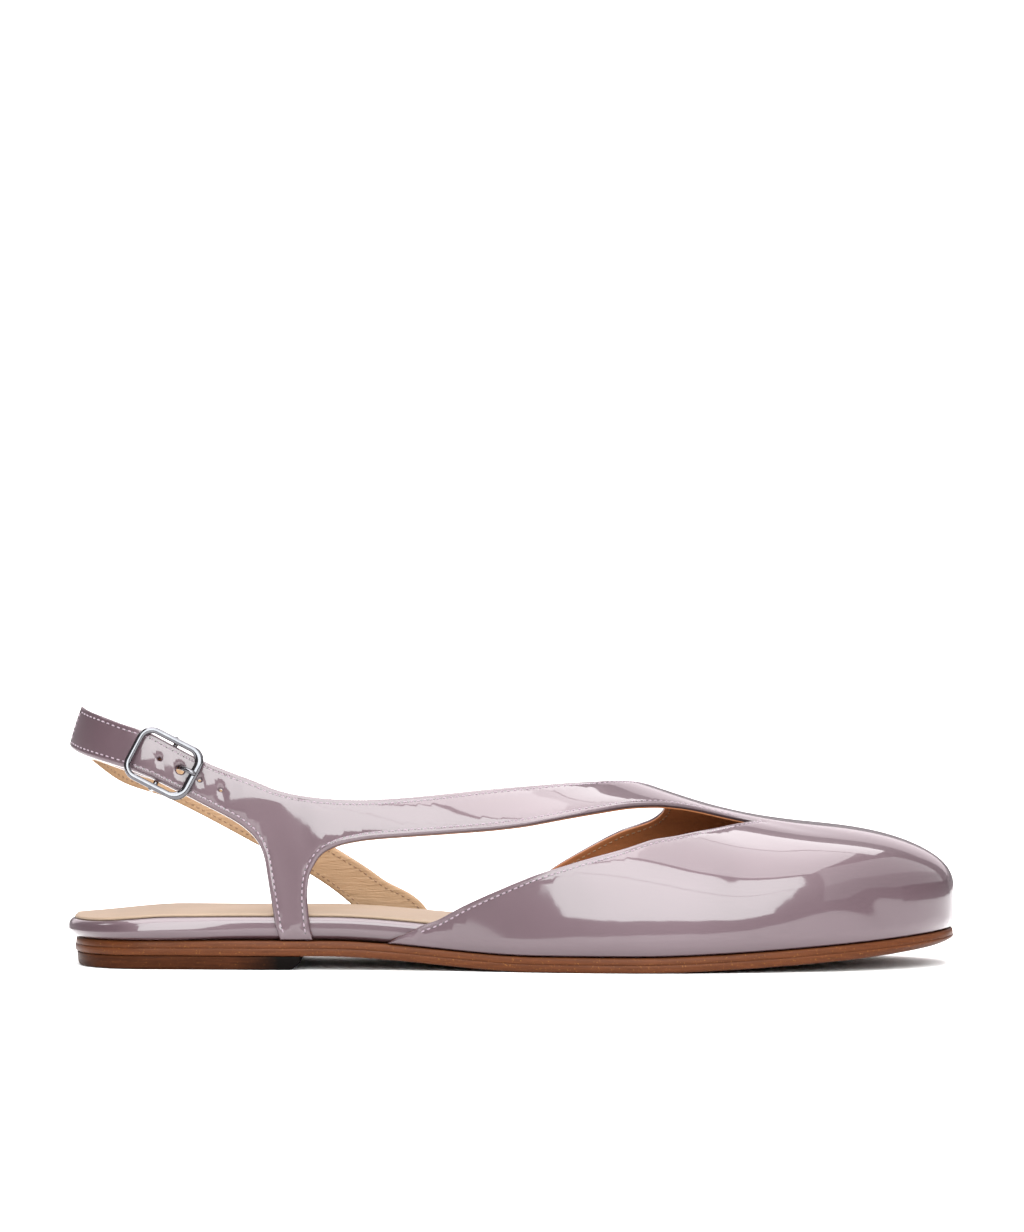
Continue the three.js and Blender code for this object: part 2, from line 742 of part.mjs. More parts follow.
const sandal = new THREE.Group();
function addPiece(name, geometry, finish) {
  const piece = new THREE.Mesh(geometry, new THREE.MeshStandardMaterial(finish));
  piece.name = name;
  sandal.add(piece);
}

addPiece("heel_lift", heelLift(), dark);
addPiece("outsole", outsole(), brown);
addPiece("footbed", footbed(), patent);
addPiece("sock", sock(), tan);
addPiece("upper", upper(), patent);
addPiece("back_strap", backStrap(), patent);
addPiece("buckle_frame", onStrap(buckleFrame()), steel);
addPiece("buckle_prong", onStrap(prong()), steel);

export default sandal;
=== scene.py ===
# %% [markdown]
# A flat slingback sandal in lilac patent leather, for the right foot. The solids of the
# frame hold its sizes. This lesson dresses them: every leather piece is laid again on the
# same form as a dense smooth skin, because patent leather mirrors each small dent in it.

# %% Load the frame
import math
import bmesh
import bpy
import numpy as np
from mathutils import Matrix, Vector, kdtree
from mathutils.geometry import delaunay_2d_cdt


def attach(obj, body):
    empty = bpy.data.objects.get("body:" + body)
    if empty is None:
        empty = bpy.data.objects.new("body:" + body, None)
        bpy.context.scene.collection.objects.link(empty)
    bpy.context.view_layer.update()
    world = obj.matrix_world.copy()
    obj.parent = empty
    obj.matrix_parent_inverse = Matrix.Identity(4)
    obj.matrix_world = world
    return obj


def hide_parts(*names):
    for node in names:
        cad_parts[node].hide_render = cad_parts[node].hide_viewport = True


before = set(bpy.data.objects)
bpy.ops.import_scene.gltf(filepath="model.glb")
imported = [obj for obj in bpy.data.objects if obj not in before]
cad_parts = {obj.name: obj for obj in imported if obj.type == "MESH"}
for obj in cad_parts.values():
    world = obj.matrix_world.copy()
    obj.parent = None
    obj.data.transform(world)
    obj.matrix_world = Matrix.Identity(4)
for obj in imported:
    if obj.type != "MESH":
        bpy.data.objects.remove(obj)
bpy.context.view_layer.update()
print("nodes:", sorted(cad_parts))

# %% [markdown]
# The shoe's own sizes come first, in millimetres, as a pattern cutter would note them.
# Everything below is worked out from them.

# %% Sizes
MM = 0.001
SHOE_LENGTH = 250.0
BALL_WIDTH = 82.0
INSTEP_HEIGHT = 55.0
HALF = SHOE_LENGTH / 2
HALF_BALL = BALL_WIDTH / 2
LIFT_THICKNESS = 3.8
SOLE_THICKNESS = 4.2
TOE_SPRING = 6.3
SEAT = 0.3
UPPER_WALL = 1.8
STRAP_WALL = 1.8
FOOTBED_THICKNESS = 6.3
SOCK_THICKNESS = 0.8
HEEL_DIP = 1.4
TOE_FAN = 0.336 * HALF
TOE_START = HALF - TOE_FAN
HEEL_FAN = 0.2 * HALF
HEEL_CENTRE = HEEL_FAN - HALF
SLING_FAN = 0.228 * HALF
BELLY_RISE = 4.0
TUCK_GIRTH = 0.08
TUCK_SHARE = 0.03
BOTTOM_GIRTH = 1 + TUCK_GIRTH
ROUND_INSTEP, ROUND_TOE = 2.2, 2.8
WALL_INSTEP, WALL_TOE = 2.3, 4.2
QUARTER_TURN = math.pi / 2 * HEEL_FAN
SPRING_START = 0.28 * HALF
ARCH_FRONT, ARCH_LONG = 0.064 * HALF, 0.48 * HALF
DIP_LONG = 0.2 * HALF
ROUND_SPEED = 1.56
WALL_START, WALL_LONG = 0.48 * HALF, 0.36 * HALF

# %% [markdown]
# The form is a last: sections across the foot, each an arch from the outer edge over the
# crown to the inner edge. One could sculpt it, but a formula keeps it smooth to the second
# degree, and that is what a mirror finish needs.

# %% Sections of the form
# along, outer, inner, crown, lean: shares of half length, half ball width and instep height
SECTIONS = np.array([
    (-0.80, 0.663, 0.663, 1.820, 0.000),
    (-0.48, 0.693, 0.644, 1.530, 0.000),
    (-0.20, 0.756, 0.622, 1.220, 0.050),
    (0.000, 0.873, 0.707, 1.090, 0.075),
    (0.176, 0.971, 0.841, 1.000, 0.100),
    (0.304, 1.000, 0.939, 0.916, 0.110),
    (0.432, 0.990, 0.976, 0.822, 0.120),
    (0.560, 0.941, 0.966, 0.755, 0.120),
    (0.704, 0.855, 0.908, 0.715, 0.120),
    (0.848, 0.745, 0.812, 0.682, 0.110),
    (1.000, 0.610, 0.690, 0.625, 0.100),
])


def curve_through(xs, ys):
    """A smooth curve through rows, with continuous bending, as the part's source has it."""
    xs, ys = np.asarray(xs, float), np.asarray(ys, float)
    step = np.diff(xs)
    size = len(xs)
    system = np.eye(size)
    slopes = np.zeros(size)
    for i in range(1, size - 1):
        system[i, i - 1:i + 2] = step[i - 1], 2 * (step[i - 1] + step[i]), step[i]
        slopes[i] = 6 * ((ys[i + 1] - ys[i]) / step[i] - (ys[i] - ys[i - 1]) / step[i - 1])
    bend = np.linalg.solve(system, slopes)

    def at(x):
        x = np.clip(x, xs[0], xs[-1])
        i = np.clip(np.searchsorted(xs, x, side="left") - 1, 0, size - 2)
        t = (x - xs[i]) / step[i]
        u = 1 - t
        arc = (u ** 3 - u) * bend[i] + (t ** 3 - t) * bend[i + 1]
        return u * ys[i] + t * ys[i + 1] + step[i] ** 2 / 6 * arc
    return at


outer_width, inner_width = (
    curve_through(SECTIONS[:, 0] * HALF, SECTIONS[:, k] * HALF_BALL) for k in (1, 2))
crown_height = curve_through(SECTIONS[:, 0] * HALF, SECTIONS[:, 3] * INSTEP_HEIGHT)
crown_lean = curve_through(SECTIONS[:, 0] * HALF, SECTIONS[:, 4] * HALF_BALL)


def ease(t):
    c = np.clip(t, 0, 1)
    return c * c * (3 - 2 * c)


def sole_bottom(x):
    spring = np.maximum(0, (x - SPRING_START) / (HALF - SPRING_START))
    return LIFT_THICKNESS * ease((ARCH_FRONT - x) / ARCH_LONG) + TOE_SPRING * spring ** 1.5


def sole_top(x):
    return sole_bottom(x) + SOLE_THICKNESS


def heel_drop(x):
    return HEEL_DIP * ease((HEEL_CENTRE + DIP_LONG / 4 - x) / DIP_LONG)


def form_point(station, girth, depth=0.0):
    """Points of the form from places on the pattern, a depth inside the outer skin."""
    station, girth, depth = np.broadcast_arrays(*map(lambda v: np.asarray(v, float),
                                                     (station, girth, depth)))
    ahead = np.maximum(0, (station - TOE_START) / TOE_FAN)
    across = np.abs(girth)
    norm = (ahead ** ROUND_TOE + across ** ROUND_TOE) ** (1 / ROUND_TOE)
    reach = np.where(ahead > 0, norm, across)
    rounding = ROUND_INSTEP + (ROUND_TOE - ROUND_INSTEP) * ease(station / HALF * ROUND_SPEED)
    wall = WALL_INSTEP + (WALL_TOE - WALL_INSTEP) * ease((station - WALL_START) / WALL_LONG)
    under = np.maximum(0, (reach - 1) / TUCK_GIRTH)
    high = np.maximum(0, 1 - np.minimum(reach, 1) ** rounding)
    wide = np.where(reach > 1, 1 - TUCK_SHARE * under ** 3, (1 - high ** wall) ** (1 / rounding))
    grow = np.where(reach > 1e-6, wide / np.maximum(reach, 1e-6), wall ** (1 / rounding))
    x = np.where(station <= TOE_START, station, TOE_START + (TOE_FAN - depth) * grow * ahead)
    row = np.maximum(HEEL_CENTRE, x)
    lean = crown_lean(row)
    side = np.where(girth < 0, outer_width(row) + lean, inner_width(row) - lean)
    offset = grow * across * (side - depth)
    belly = sole_top(row) + SEAT + BELLY_RISE
    z = belly + (crown_height(row) - belly - depth) * high - BELLY_RISE * under
    turn = np.maximum(0, (HEEL_CENTRE - x) / HEEL_FAN)
    behind = x < HEEL_CENTRE
    back = grow * across * (SLING_FAN - depth)
    sign = np.where(girth < 0, -1.0, 1.0)
    px = np.where(behind, HEEL_CENTRE - back * np.sin(turn), x)
    py = np.where(behind, sign * offset * np.cos(turn), lean + sign * offset)
    return np.stack([px, py, z], axis=-1)


def wrap_point(turn, girth, depth=0.0):
    """The same form, measured round the heel from its middle, as the back strap is laid."""
    turn = np.asarray(turn, float)
    station = HEEL_CENTRE - QUARTER_TURN + np.abs(turn)
    return form_point(station, np.where(turn < 0, -1, 1) * np.asarray(girth, float), depth)


print("crown at the throat, mm:", form_point(69.0, 0.0).round(1))

# %% [markdown]
# The cut edges follow the photo from the side, as places on the form. They are the same
# short tables that the solids are cut from. A centripetal curve runs through each.

# %% Edge tables
SLING_TOP = [(-1.04, -0.588), (-0.92, -0.616), (-0.816, -0.647), (-0.679, -0.692),
             (-0.579, -0.712), (-0.513, -0.724), (-0.424, -0.717), (-0.336, -0.689),
             (-0.248, -0.64), (-0.071, -0.513), (0.107, -0.375), (0.196, -0.28),
             (0.256, -0.15), (0.303, 0.05), (0.337, 0.25), (0.35, 0.44), (0.325, 0.56),
             (0.249, 0.66), (0.178, 0.742), (0.097, 0.824), (0.055, 0.871),
             (-0.03, 0.97), (-0.1, BOTTOM_GIRTH)]
VAMP_TOP = [(-0.275, -BOTTOM_GIRTH), (-0.222, -1.002), (-0.158, -0.963), (-0.114, -0.929),
            (-0.026, -0.866), (0.053, -0.811), (0.129, -0.768), (0.248, -0.695),
            (0.31, -0.637), (0.368, -0.588), (0.454, -0.474), (0.51, -0.373), (0.547, -0.28)]
STRAP_LOW = [(0.505, -0.275), (0.42, -0.29), (0.343, -0.358), (0.28, -0.43), (0.194, -0.52),
             (0.062, -0.615), (-0.026, -0.664), (-0.115, -0.705), (-0.247, -0.765),
             (-0.335, -0.803), (-0.385, -0.828), (-0.421, -0.855), (-0.437, -0.879),
             (-0.448, -0.905), (-0.452, -0.946), (-0.448, -0.989), (-0.44, -BOTTOM_GIRTH)]
SLING_LOW = [(-0.512, -BOTTOM_GIRTH), (-0.522, -1.006), (-0.533, -0.951), (-0.54, -0.915),
             (-0.549, -0.872), (-0.562, -0.845), (-0.588, -0.822), (-0.627, -0.803),
             (-0.711, -0.774), (-0.79, -0.75), (-0.86, -0.728), (-1.08, -0.688)]
# turn, high, low, sink
STRAP_TURNS = np.array([
    (-0.365, 0.664, 0.746, 2.5), (-0.3, 0.642, 0.732, 2.45), (-0.22, 0.612, 0.711, 2.6),
    (-0.1, 0.577, 0.69, 2.8), (0.0, 0.573, 0.69, 2.9), (0.1, 0.596, 0.711, 2.6),
    (0.2, 0.64, 0.752, 2.2), (0.306, 0.687, 0.787, 1.3), (0.398, 0.731, 0.82, 0.65),
    (0.512, 0.777, 0.865, 0.15), (0.65, 0.832, 0.922, 0.0), (0.707, 0.858, 0.953, 0.0),
    (0.756, 0.881, 0.988, 0.0), (0.8, 0.905, 1.04, 0.0), (0.82, 0.917, BOTTOM_GIRTH, 0.0),
    (0.926, 0.985, BOTTOM_GIRTH, 0.0), (0.97, BOTTOM_GIRTH - 0.01, BOTTOM_GIRTH, 0.0)])
# How many millimetres one unit of girth counts for where lengths on the pattern are compared
GIRTH_SCALE = 60.0
CURVE_STEPS = 24


def smooth_line(rows):
    """Places on a centripetal curve through rows of (station, girth)."""
    p = np.array(rows, float)
    p[:, 1] *= GIRTH_SCALE
    p = np.vstack([2 * p[0] - p[1], p, 2 * p[-1] - p[-2]])
    pieces = []
    for a, b, c, d in zip(p, p[1:], p[2:], p[3:]):
        t = np.cumsum([0, *(np.linalg.norm(q - o) ** 0.5 for o, q in ((a, b), (b, c), (c, d)))])
        u = np.linspace(t[1], t[2], CURVE_STEPS, endpoint=False)[:, None]

        def between(start, end, first, last):
            return ((last - u) * start + (u - first) * end) / (last - first)
        ab, bc, cd = between(a, b, t[0], t[1]), between(b, c, t[1], t[2]), between(c, d, t[2], t[3])
        pieces.append(between(between(ab, bc, t[0], t[2]), between(bc, cd, t[1], t[3]), t[1], t[2]))
    line = np.vstack([*pieces, p[-2]])
    line[:, 1] /= GIRTH_SCALE
    return line


def even_steps(line, place, spacing):
    """The same line with its points an even length apart on the form."""
    at = place(line[:, 0], line[:, 1])
    run = np.concatenate([[0], np.cumsum(np.linalg.norm(np.diff(at, axis=0), axis=1))])
    count = max(2, round(run[-1] / spacing))
    marks = np.linspace(0, run[-1], count + 1)
    return np.stack([np.interp(marks, run, line[:, k]) for k in (0, 1)], axis=1)


def table_line(rows, place=form_point, spacing=0.8):
    scaled = [(along * HALF, girth) for along, girth in rows]
    return even_steps(smooth_line(scaled), place, spacing)


# %% [markdown]
# A skin is a flat pattern filled with an even net of triangles, then laid on the form. The
# net is a staggered one, so that no row of edges shows in the gloss. Rings of points close
# to each cut edge round it over and press the stitch line in, as a folding hammer and the
# sewing do.

# %% Pattern nets
RING_EDGE = (0.06, 0.16, 0.34, 0.62)
RING_STITCH = (1.15, 1.5, 1.85)
STITCH_INSET = 1.5
EDGE_ROUND = 0.62
STITCH_PRESS = 0.10
STITCH_GROOVE = 0.28
RING_SHARE = 0.9
ROW_SHARE = 0.866
NET_GAP = 2.6
FAR_OFF = 9.0


def steps_on_form(place, s, g):
    """How far the form moves for a small step along and across the pattern."""
    step_s, step_g = 0.05, 0.001
    along = (place(s + step_s, g) - place(s - step_s, g)) / (2 * step_s)
    across = (place(s, g + step_g) - place(s, g - step_g)) / (2 * step_g)
    return along, across


def inward_steps(place, loop):
    """For each place on a loop that runs anticlockwise, the pattern step of 1 mm inward."""
    run = np.roll(loop, -1, axis=0) - np.roll(loop, 1, axis=0)
    along, across = steps_on_form(place, loop[:, 0], loop[:, 1])
    tangent = along * run[:, :1] + across * run[:, 1:]
    inward = np.cross(np.cross(along, across), tangent)
    inward /= np.maximum(np.linalg.norm(inward, axis=1, keepdims=True), 1e-9)
    e, f, g = (along * along).sum(1), (along * across).sum(1), (across * across).sum(1)
    p, q = (inward * along).sum(1), (inward * across).sum(1)
    return np.stack([g * p - f * q, e * q - f * p], axis=1) / (e * g - f * f)[:, None]


def inside(loop, points):
    x, y = points[:, 0], points[:, 1]
    hit = np.zeros(len(points), bool)
    for (x0, y0), (x1, y1) in zip(loop, np.roll(loop, -1, axis=0)):
        if y0 == y1:
            continue
        crosses = (y0 > y) != (y1 > y)
        hit ^= crosses & (x < (x1 - x0) * (y - y0) / (y1 - y0) + x0)
    return hit


def distance_to(place, loops):
    """Gives a function that measures how far places lie from the outlines, in mm."""
    points = np.vstack([place(line[:, 0], line[:, 1]) for line in loops])
    edges = kdtree.KDTree(len(points))
    for i, point in enumerate(points):
        edges.insert(Vector(point), i)
    edges.balance()
    return lambda spots: np.array([edges.find(Vector(p))[2]
                                   for p in place(spots[:, 0], spots[:, 1])])


def outline(parts):
    """The closed loop of parts of (line, stitched), and which of its places are stitched."""
    return (np.vstack([line[:-1] for line, _ in parts]),
            np.concatenate([np.full(len(line) - 1, flag) for line, flag in parts]))


def pattern_net(place, parts, holes=(), net=1.5):
    """Fills an outline, less its holes, with rings along its edges and an even net."""
    loop, stitched = outline(parts)
    loops = [(loop, stitched)] + [(h[::-1], np.zeros(len(h), bool)) for h in holes]
    off_edge = distance_to(place, [line for line, _ in loops])
    places, press = [], []

    def add(spots, distance, flags):
        places.append(spots)
        press.append(np.stack([np.full(len(spots), distance), flags * 1.0], axis=1))

    for line, flags in loops:
        add(line, 0.0, flags)
    for line, flags in loops:
        inward = inward_steps(place, line)
        for distance in RING_EDGE + (RING_STITCH if line is loop else ()):
            ring = line + inward * distance
            keep = off_edge(ring) > distance * RING_SHARE
            if distance in RING_STITCH:
                keep &= flags
            add(ring[keep], distance, flags[keep])
    low, high = loop.min(axis=0), loop.max(axis=0)
    rows = []
    for k, girth in enumerate(np.arange(low[1], high[1], net / GIRTH_SCALE * ROW_SHARE)):
        stations = np.arange(low[0] + (k % 2) * net / 2, high[0], net)
        rows.append(np.stack([stations, np.full(len(stations), girth)], axis=1))
    grid = np.vstack(rows)
    grid = grid[inside(loop, grid)]
    grid = grid[off_edge(grid) > NET_GAP]
    add(grid, FAR_OFF, np.zeros(len(grid)))
    press = np.vstack(press)
    points = [Vector((s, g * GIRTH_SCALE)) for s, g in np.vstack(places)]
    faces, start = [], 0
    for line, _ in loops:
        faces.append(list(range(start, start + len(line))))
        start += len(line)
    verts, _, tris, old, _, _ = delaunay_2d_cdt(points, [], faces, 3 if holes else 1, 1e-6, True)
    source = np.array([ids[0] if ids else -1 for ids in old])
    spots = np.array([[v.x, v.y / GIRTH_SCALE] for v in verts])
    marks = np.where(source[:, None] >= 0, press[np.maximum(source, 0)], [FAR_OFF, 0.0])
    triangles = np.array([t for t in tris if len(t) == 3])
    centres = spots[triangles].sum(axis=1) / 3
    good = inside(loop, centres)
    for hole in holes:
        good &= ~inside(hole, centres)
    used, triangles = np.unique(triangles[good], return_inverse=True)
    return spots[used], marks[used], triangles.reshape(-1, 3).tolist()


def edge_press(marks):
    """How deep the skin lies at a distance from its edge: rounded over, pressed at the seam."""
    distance, stitched = marks[:, 0], marks[:, 1]
    inner = np.maximum(0, EDGE_ROUND - distance)
    over = EDGE_ROUND - np.sqrt(np.maximum(0, EDGE_ROUND ** 2 - inner ** 2))
    seam = STITCH_PRESS * stitched * np.exp(-((distance - STITCH_INSET) / STITCH_GROOVE) ** 2)
    return over + seam


def mesh_object(name, points, faces):
    mesh = bpy.data.meshes.new(name)
    mesh.from_pydata([tuple(p) for p in np.asarray(points) * MM], [], [tuple(f) for f in faces])
    mesh.validate()
    mesh.update()
    mesh.polygons.foreach_set("use_smooth", [True] * len(mesh.polygons))
    piece = bpy.data.objects.new(name, mesh)
    bpy.context.scene.collection.objects.link(piece)
    print(name, "faces:", len(mesh.polygons))
    return piece


def joined_mesh(name, parts):
    """One object from many parts of (points, faces)."""
    points, faces, start = [], [], 0
    for part_points, part_faces in parts:
        points.append(part_points)
        faces += [tuple(i + start for i in face) for face in part_faces]
        start += len(part_points)
    return mesh_object(name, np.vstack(points), faces)


def swept(rings, closed):
    """Points and faces of a tube through rings of points, with flat ends if it is open."""
    count, sides = len(rings), len(rings[0])
    faces = []
    for i in range(count if closed else count - 1):
        j = (i + 1) % count
        for k in range(sides):
            m = (k + 1) % sides
            faces.append((i * sides + k, j * sides + k, j * sides + m, i * sides + m))
    if not closed:
        faces.append(tuple(range(sides)))
        faces.append(tuple((count - 1) * sides + k for k in range(sides))[::-1])
    return np.vstack(rings), faces


def shell_faces(triangles, count):
    """Upper face, lower face and the band between them, from one net."""
    edges = {edge for a, b, c in triangles for edge in ((a, b), (b, c), (c, a))}
    under = [[c + count, b + count, a + count] for a, b, c in triangles]
    band = [[b, a, a + count, b + count] for a, b in sorted(edges) if (b, a) not in edges]
    return triangles + under + band


def turned_out(place, spots, triangles):
    """Turns the net over if its triangles face into the foot."""
    a, b, c = (spots[[t[k] for t in triangles]] for k in range(3))
    pa, pb, pc = (place(p[:, 0], p[:, 1]) for p in (a, b, c))
    deeper = place(a[:, 0], a[:, 1], np.full(len(a), 1.0)) - pa
    if (np.cross(pb - pa, pc - pa) * deeper).sum() > 0:
        return [[t[0], t[2], t[1]] for t in triangles]
    return triangles


def shell(name, place, net, top_depth, under_depth):
    spots, marks, triangles = net
    triangles = turned_out(place, spots, triangles)
    sides = [place(spots[:, 0], spots[:, 1], depth(spots, marks)) for depth in (top_depth, under_depth)]
    return mesh_object(name, np.vstack(sides), shell_faces(triangles, len(spots)))


# %% [markdown]
# The upper is one piece of patent leather, folded at its edges over a tan lining. Its
# outline joins the four edge lines with the long line under the sole. The prong's hole is
# cut through, and the punched holes beside it are cut through too.

# %% The upper's pattern
def round_hole(station, girth, radius, sides=14):
    along, across = steps_on_form(form_point, np.array([station]), np.array([girth]))
    per_s, per_g = np.linalg.norm(along[0]), np.linalg.norm(across[0])
    turn = np.linspace(0, 2 * math.pi, sides, endpoint=False)
    return np.stack([station + radius * np.cos(turn) / per_s,
                     girth + radius * np.sin(turn) / per_g], axis=1)


def span(a, b, steps):
    return np.stack([np.linspace(a[k], b[k], steps + 1) for k in (0, 1)], axis=1)


def straight(place, a, b, steps, spacing, stitched=False):
    """A straight part of an outline, in even steps on the form."""
    return even_steps(span(a, b, steps), place, spacing), stitched


def anticlockwise(parts):
    """The same outline, run the other way round."""
    return [(line[::-1], stitched) for line, stitched in parts[::-1]]


def toe_end(steps):
    turn = np.linspace(math.pi / 2, -math.pi / 2, steps)
    reach = np.abs(np.sin(turn)) ** (2 / ROUND_TOE) * np.sign(np.sin(turn))
    return np.stack([TOE_START + TOE_FAN * BOTTOM_GIRTH * np.cos(turn) ** (2 / ROUND_TOE),
                     BOTTOM_GIRTH * reach], axis=1)


sling_top = table_line(SLING_TOP)
vamp_top = table_line(VAMP_TOP)
strap_low = table_line(STRAP_LOW)
sling_low = table_line(SLING_LOW)
upper_parts = [
    (sling_top, True),
    straight(form_point, sling_top[-1], (TOE_START, BOTTOM_GIRTH), 60, 1.2),
    (even_steps(toe_end(200), form_point, 1.2), False),
    straight(form_point, (TOE_START, -BOTTOM_GIRTH), vamp_top[0], 60, 1.2),
    (vamp_top, True),
    straight(form_point, vamp_top[-1], strap_low[0], 4, 0.8),
    (strap_low, True),
    straight(form_point, strap_low[-1], sling_low[0], 8, 1.0),
    (sling_low, True),
    straight(form_point, sling_low[-1], sling_top[0], 12, 0.8, True),
]
upper_parts = anticlockwise(upper_parts)
edge_top = curve_through(*np.array([(a * HALF, g) for a, g in SLING_TOP[:12]]).T)
edge_low = curve_through(*np.array([(a * HALF, g) for a, g in SLING_LOW[:6:-1]]).T)


def sling_middle(station):
    return float(edge_top(station) + edge_low(station)) / 2


PRONG_HOLE, PRONG_HOLE_RADIUS = -0.735 * HALF, 1.15
PUNCH_RADIUS = 0.48
SLING_HOLES = [-0.781 * HALF, -0.692 * HALF, -0.645 * HALF]
upper_holes = [round_hole(PRONG_HOLE, sling_middle(PRONG_HOLE), PRONG_HOLE_RADIUS)]
upper_holes += [round_hole(s, sling_middle(s), PUNCH_RADIUS) for s in SLING_HOLES]
upper_net = pattern_net(form_point, upper_parts, upper_holes)
print("upper net:", len(upper_net[0]), "points")

# %% [markdown]
# Soft troughs and ridges come from lasting and wear: a fold where the toe part turns under
# at its rear corner, four broad troughs that let the sling and the tab hang more upright,
# puckers where the strap forks, and a few long dents in the side. Each is a row: station,
# girth, half length, half width, direction in degrees, and how deep in mm.

# %% Creases
CREASES = [
    (-30.0, -1.02, 8.0, 1.0, 17.0, 0.35),
    (-66.0, -0.86, 9.5, 6.5, -8.0, 1.3),
    (-84.0, -0.795, 11.0, 5.5, -9.0, 1.35),
    (-102.0, -0.76, 11.0, 5.0, -9.0, 1.1),
    (-60.0, -0.99, 12.0, 7.0, 0.0, 0.7),
    (-78.0, -0.735, 6.0, 2.0, 35.0, 0.16),
    (-70.0, -0.75, 9.0, 2.2, 10.0, -0.16),
    (-58.0, -0.80, 7.0, 3.0, -50.0, 0.24),
    (-110.0, -0.66, 5.0, 3.0, 80.0, 0.24),
    (-118.0, -0.64, 3.0, 2.4, 40.0, -0.14),
    (-36.0, -0.74, 14.0, 3.0, 6.0, -0.22),
    (20.0, -0.40, 12.0, 4.0, 20.0, 0.25),
    (2.0, -0.93, 26.0, 5.0, 8.0, 0.26),
    (40.0, -0.72, 34.0, 6.0, -4.0, -0.20),
    (62.0, -0.52, 24.0, 4.5, -14.0, 0.26),
    (30.0, -0.90, 20.0, 4.0, 0.0, 0.16),
    (74.0, -0.30, 16.0, 3.0, -20.0, 0.20),
    (96.0, -0.86, 9.0, 4.0, -35.0, 0.22),
]


def crease_depth(spots, rows=CREASES):
    depth = np.zeros(len(spots))
    for station, girth, length, width, degrees, deep in rows:
        turn = math.radians(degrees)
        ds, dg = spots[:, 0] - station, (spots[:, 1] - girth) * GIRTH_SCALE
        along = (ds * math.cos(turn) + dg * math.sin(turn)) / length
        across = (dg * math.cos(turn) - ds * math.sin(turn)) / width
        depth += deep * np.exp(-along ** 2 - across ** 2)
    return depth


SKIN, SKIN_GAP = 1.05, 0.02
FOLD_DEEP, FOLD_WIDE = 0.2, 0.6
INNER_SHARE = 0.8


def folded_skin(marks):
    """Where skin and lining meet: deeper at a cut edge, which the skin is folded round."""
    return SKIN + FOLD_DEEP * np.exp(-(marks[:, 0] / FOLD_WIDE) ** 2)


def inner_crease(spots):
    """The lining takes up a part of each dent."""
    return crease_depth(spots) * INNER_SHARE


upper_skin = shell("upper_skin", form_point, upper_net,
                   lambda s, m: edge_press(m) + crease_depth(s) + SKIN_GAP,
                   lambda s, m: folded_skin(m) + crease_depth(s))
upper_lining = shell("upper_lining", form_point, upper_net,
                     lambda s, m: folded_skin(m) + SKIN_GAP + crease_depth(s),
                     lambda s, m: UPPER_WALL + inner_crease(s) - edge_press(m) * 0.3)

# %% [markdown]
# The back strap is laid the same way, measured round the heel. Its tan lining faces the
# foot, and it shows across the shoe in the photo.

# %% The back strap
strap_high = curve_through(STRAP_TURNS[:, 0] * HALF, STRAP_TURNS[:, 1])
strap_low_edge = curve_through(STRAP_TURNS[:, 0] * HALF, STRAP_TURNS[:, 2])
strap_sink = curve_through(STRAP_TURNS[:, 0] * HALF, STRAP_TURNS[:, 3] * (UPPER_WALL + SEAT))


def strap_point(turn, girth, depth=0.0):
    return wrap_point(turn, girth, strap_sink(turn) + depth)


def strap_line(first, last, edge, steps):
    turn = np.linspace(first, last, steps)
    return np.stack([turn, np.minimum(edge(turn), BOTTOM_GIRTH)], axis=1)


strap_first, strap_last = STRAP_TURNS[0, 0] * HALF, STRAP_TURNS[-1, 0] * HALF
strap_foot = STRAP_TURNS[-3, 0] * HALF
low_line = strap_line(strap_first, strap_foot, strap_low_edge, 400)
high_line = strap_line(strap_last, strap_first, strap_high, 400)
strap_parts = anticlockwise([
    (even_steps(low_line, strap_point, 0.8), True),
    straight(strap_point, low_line[-1], (strap_last, BOTTOM_GIRTH), 20, 1.2),
    straight(strap_point, (strap_last, BOTTOM_GIRTH), high_line[0], 3, 0.4),
    (even_steps(high_line, strap_point, 0.8), True),
    straight(strap_point, high_line[-1], low_line[0], 12, 0.8),
])
strap_net = pattern_net(strap_point, strap_parts, net=1.3)
back_strap_skin = shell("back_strap_skin", strap_point, strap_net,
                        lambda s, m: edge_press(m) + SKIN_GAP,
                        lambda s, m: np.full(len(s), SKIN))
back_strap_lining = shell("back_strap_lining", strap_point, strap_net,
                          lambda s, m: np.full(len(s), SKIN + SKIN_GAP),
                          lambda s, m: STRAP_WALL - edge_press(m) * 0.6)

# %% [markdown]
# Stitches are short lengths of thread that dive into the leather at both ends. All of a
# seam's stitches are one joined mesh, worked out from arrays.

# %% Stitches
STITCH_PITCH = 1.8
THREAD_RADIUS = 0.2
STITCH_SHARE = 0.74
THREAD_SIDES, THREAD_RINGS = 6, 5
DENT_LONG, DENT_WIDE, DENT_SIDES = 0.24, 0.3, 8


def seam_line(place, parts, inset=STITCH_INSET):
    """The lines along which the stitched edges are sewn."""
    loop, flags = outline(parts)
    inner = loop + inward_steps(place, loop) * inset
    keep = flags & (distance_to(place, [loop])(inner) > inset * 0.93)
    runs = np.split(np.arange(len(inner)), np.flatnonzero(np.diff(keep * 1)) + 1)
    return [inner[run] for run in runs if keep[run[0]] and len(run) > 4]


def unit(vector):
    return vector / np.linalg.norm(vector)


def no_crease(spots):
    return np.zeros(len(spots))


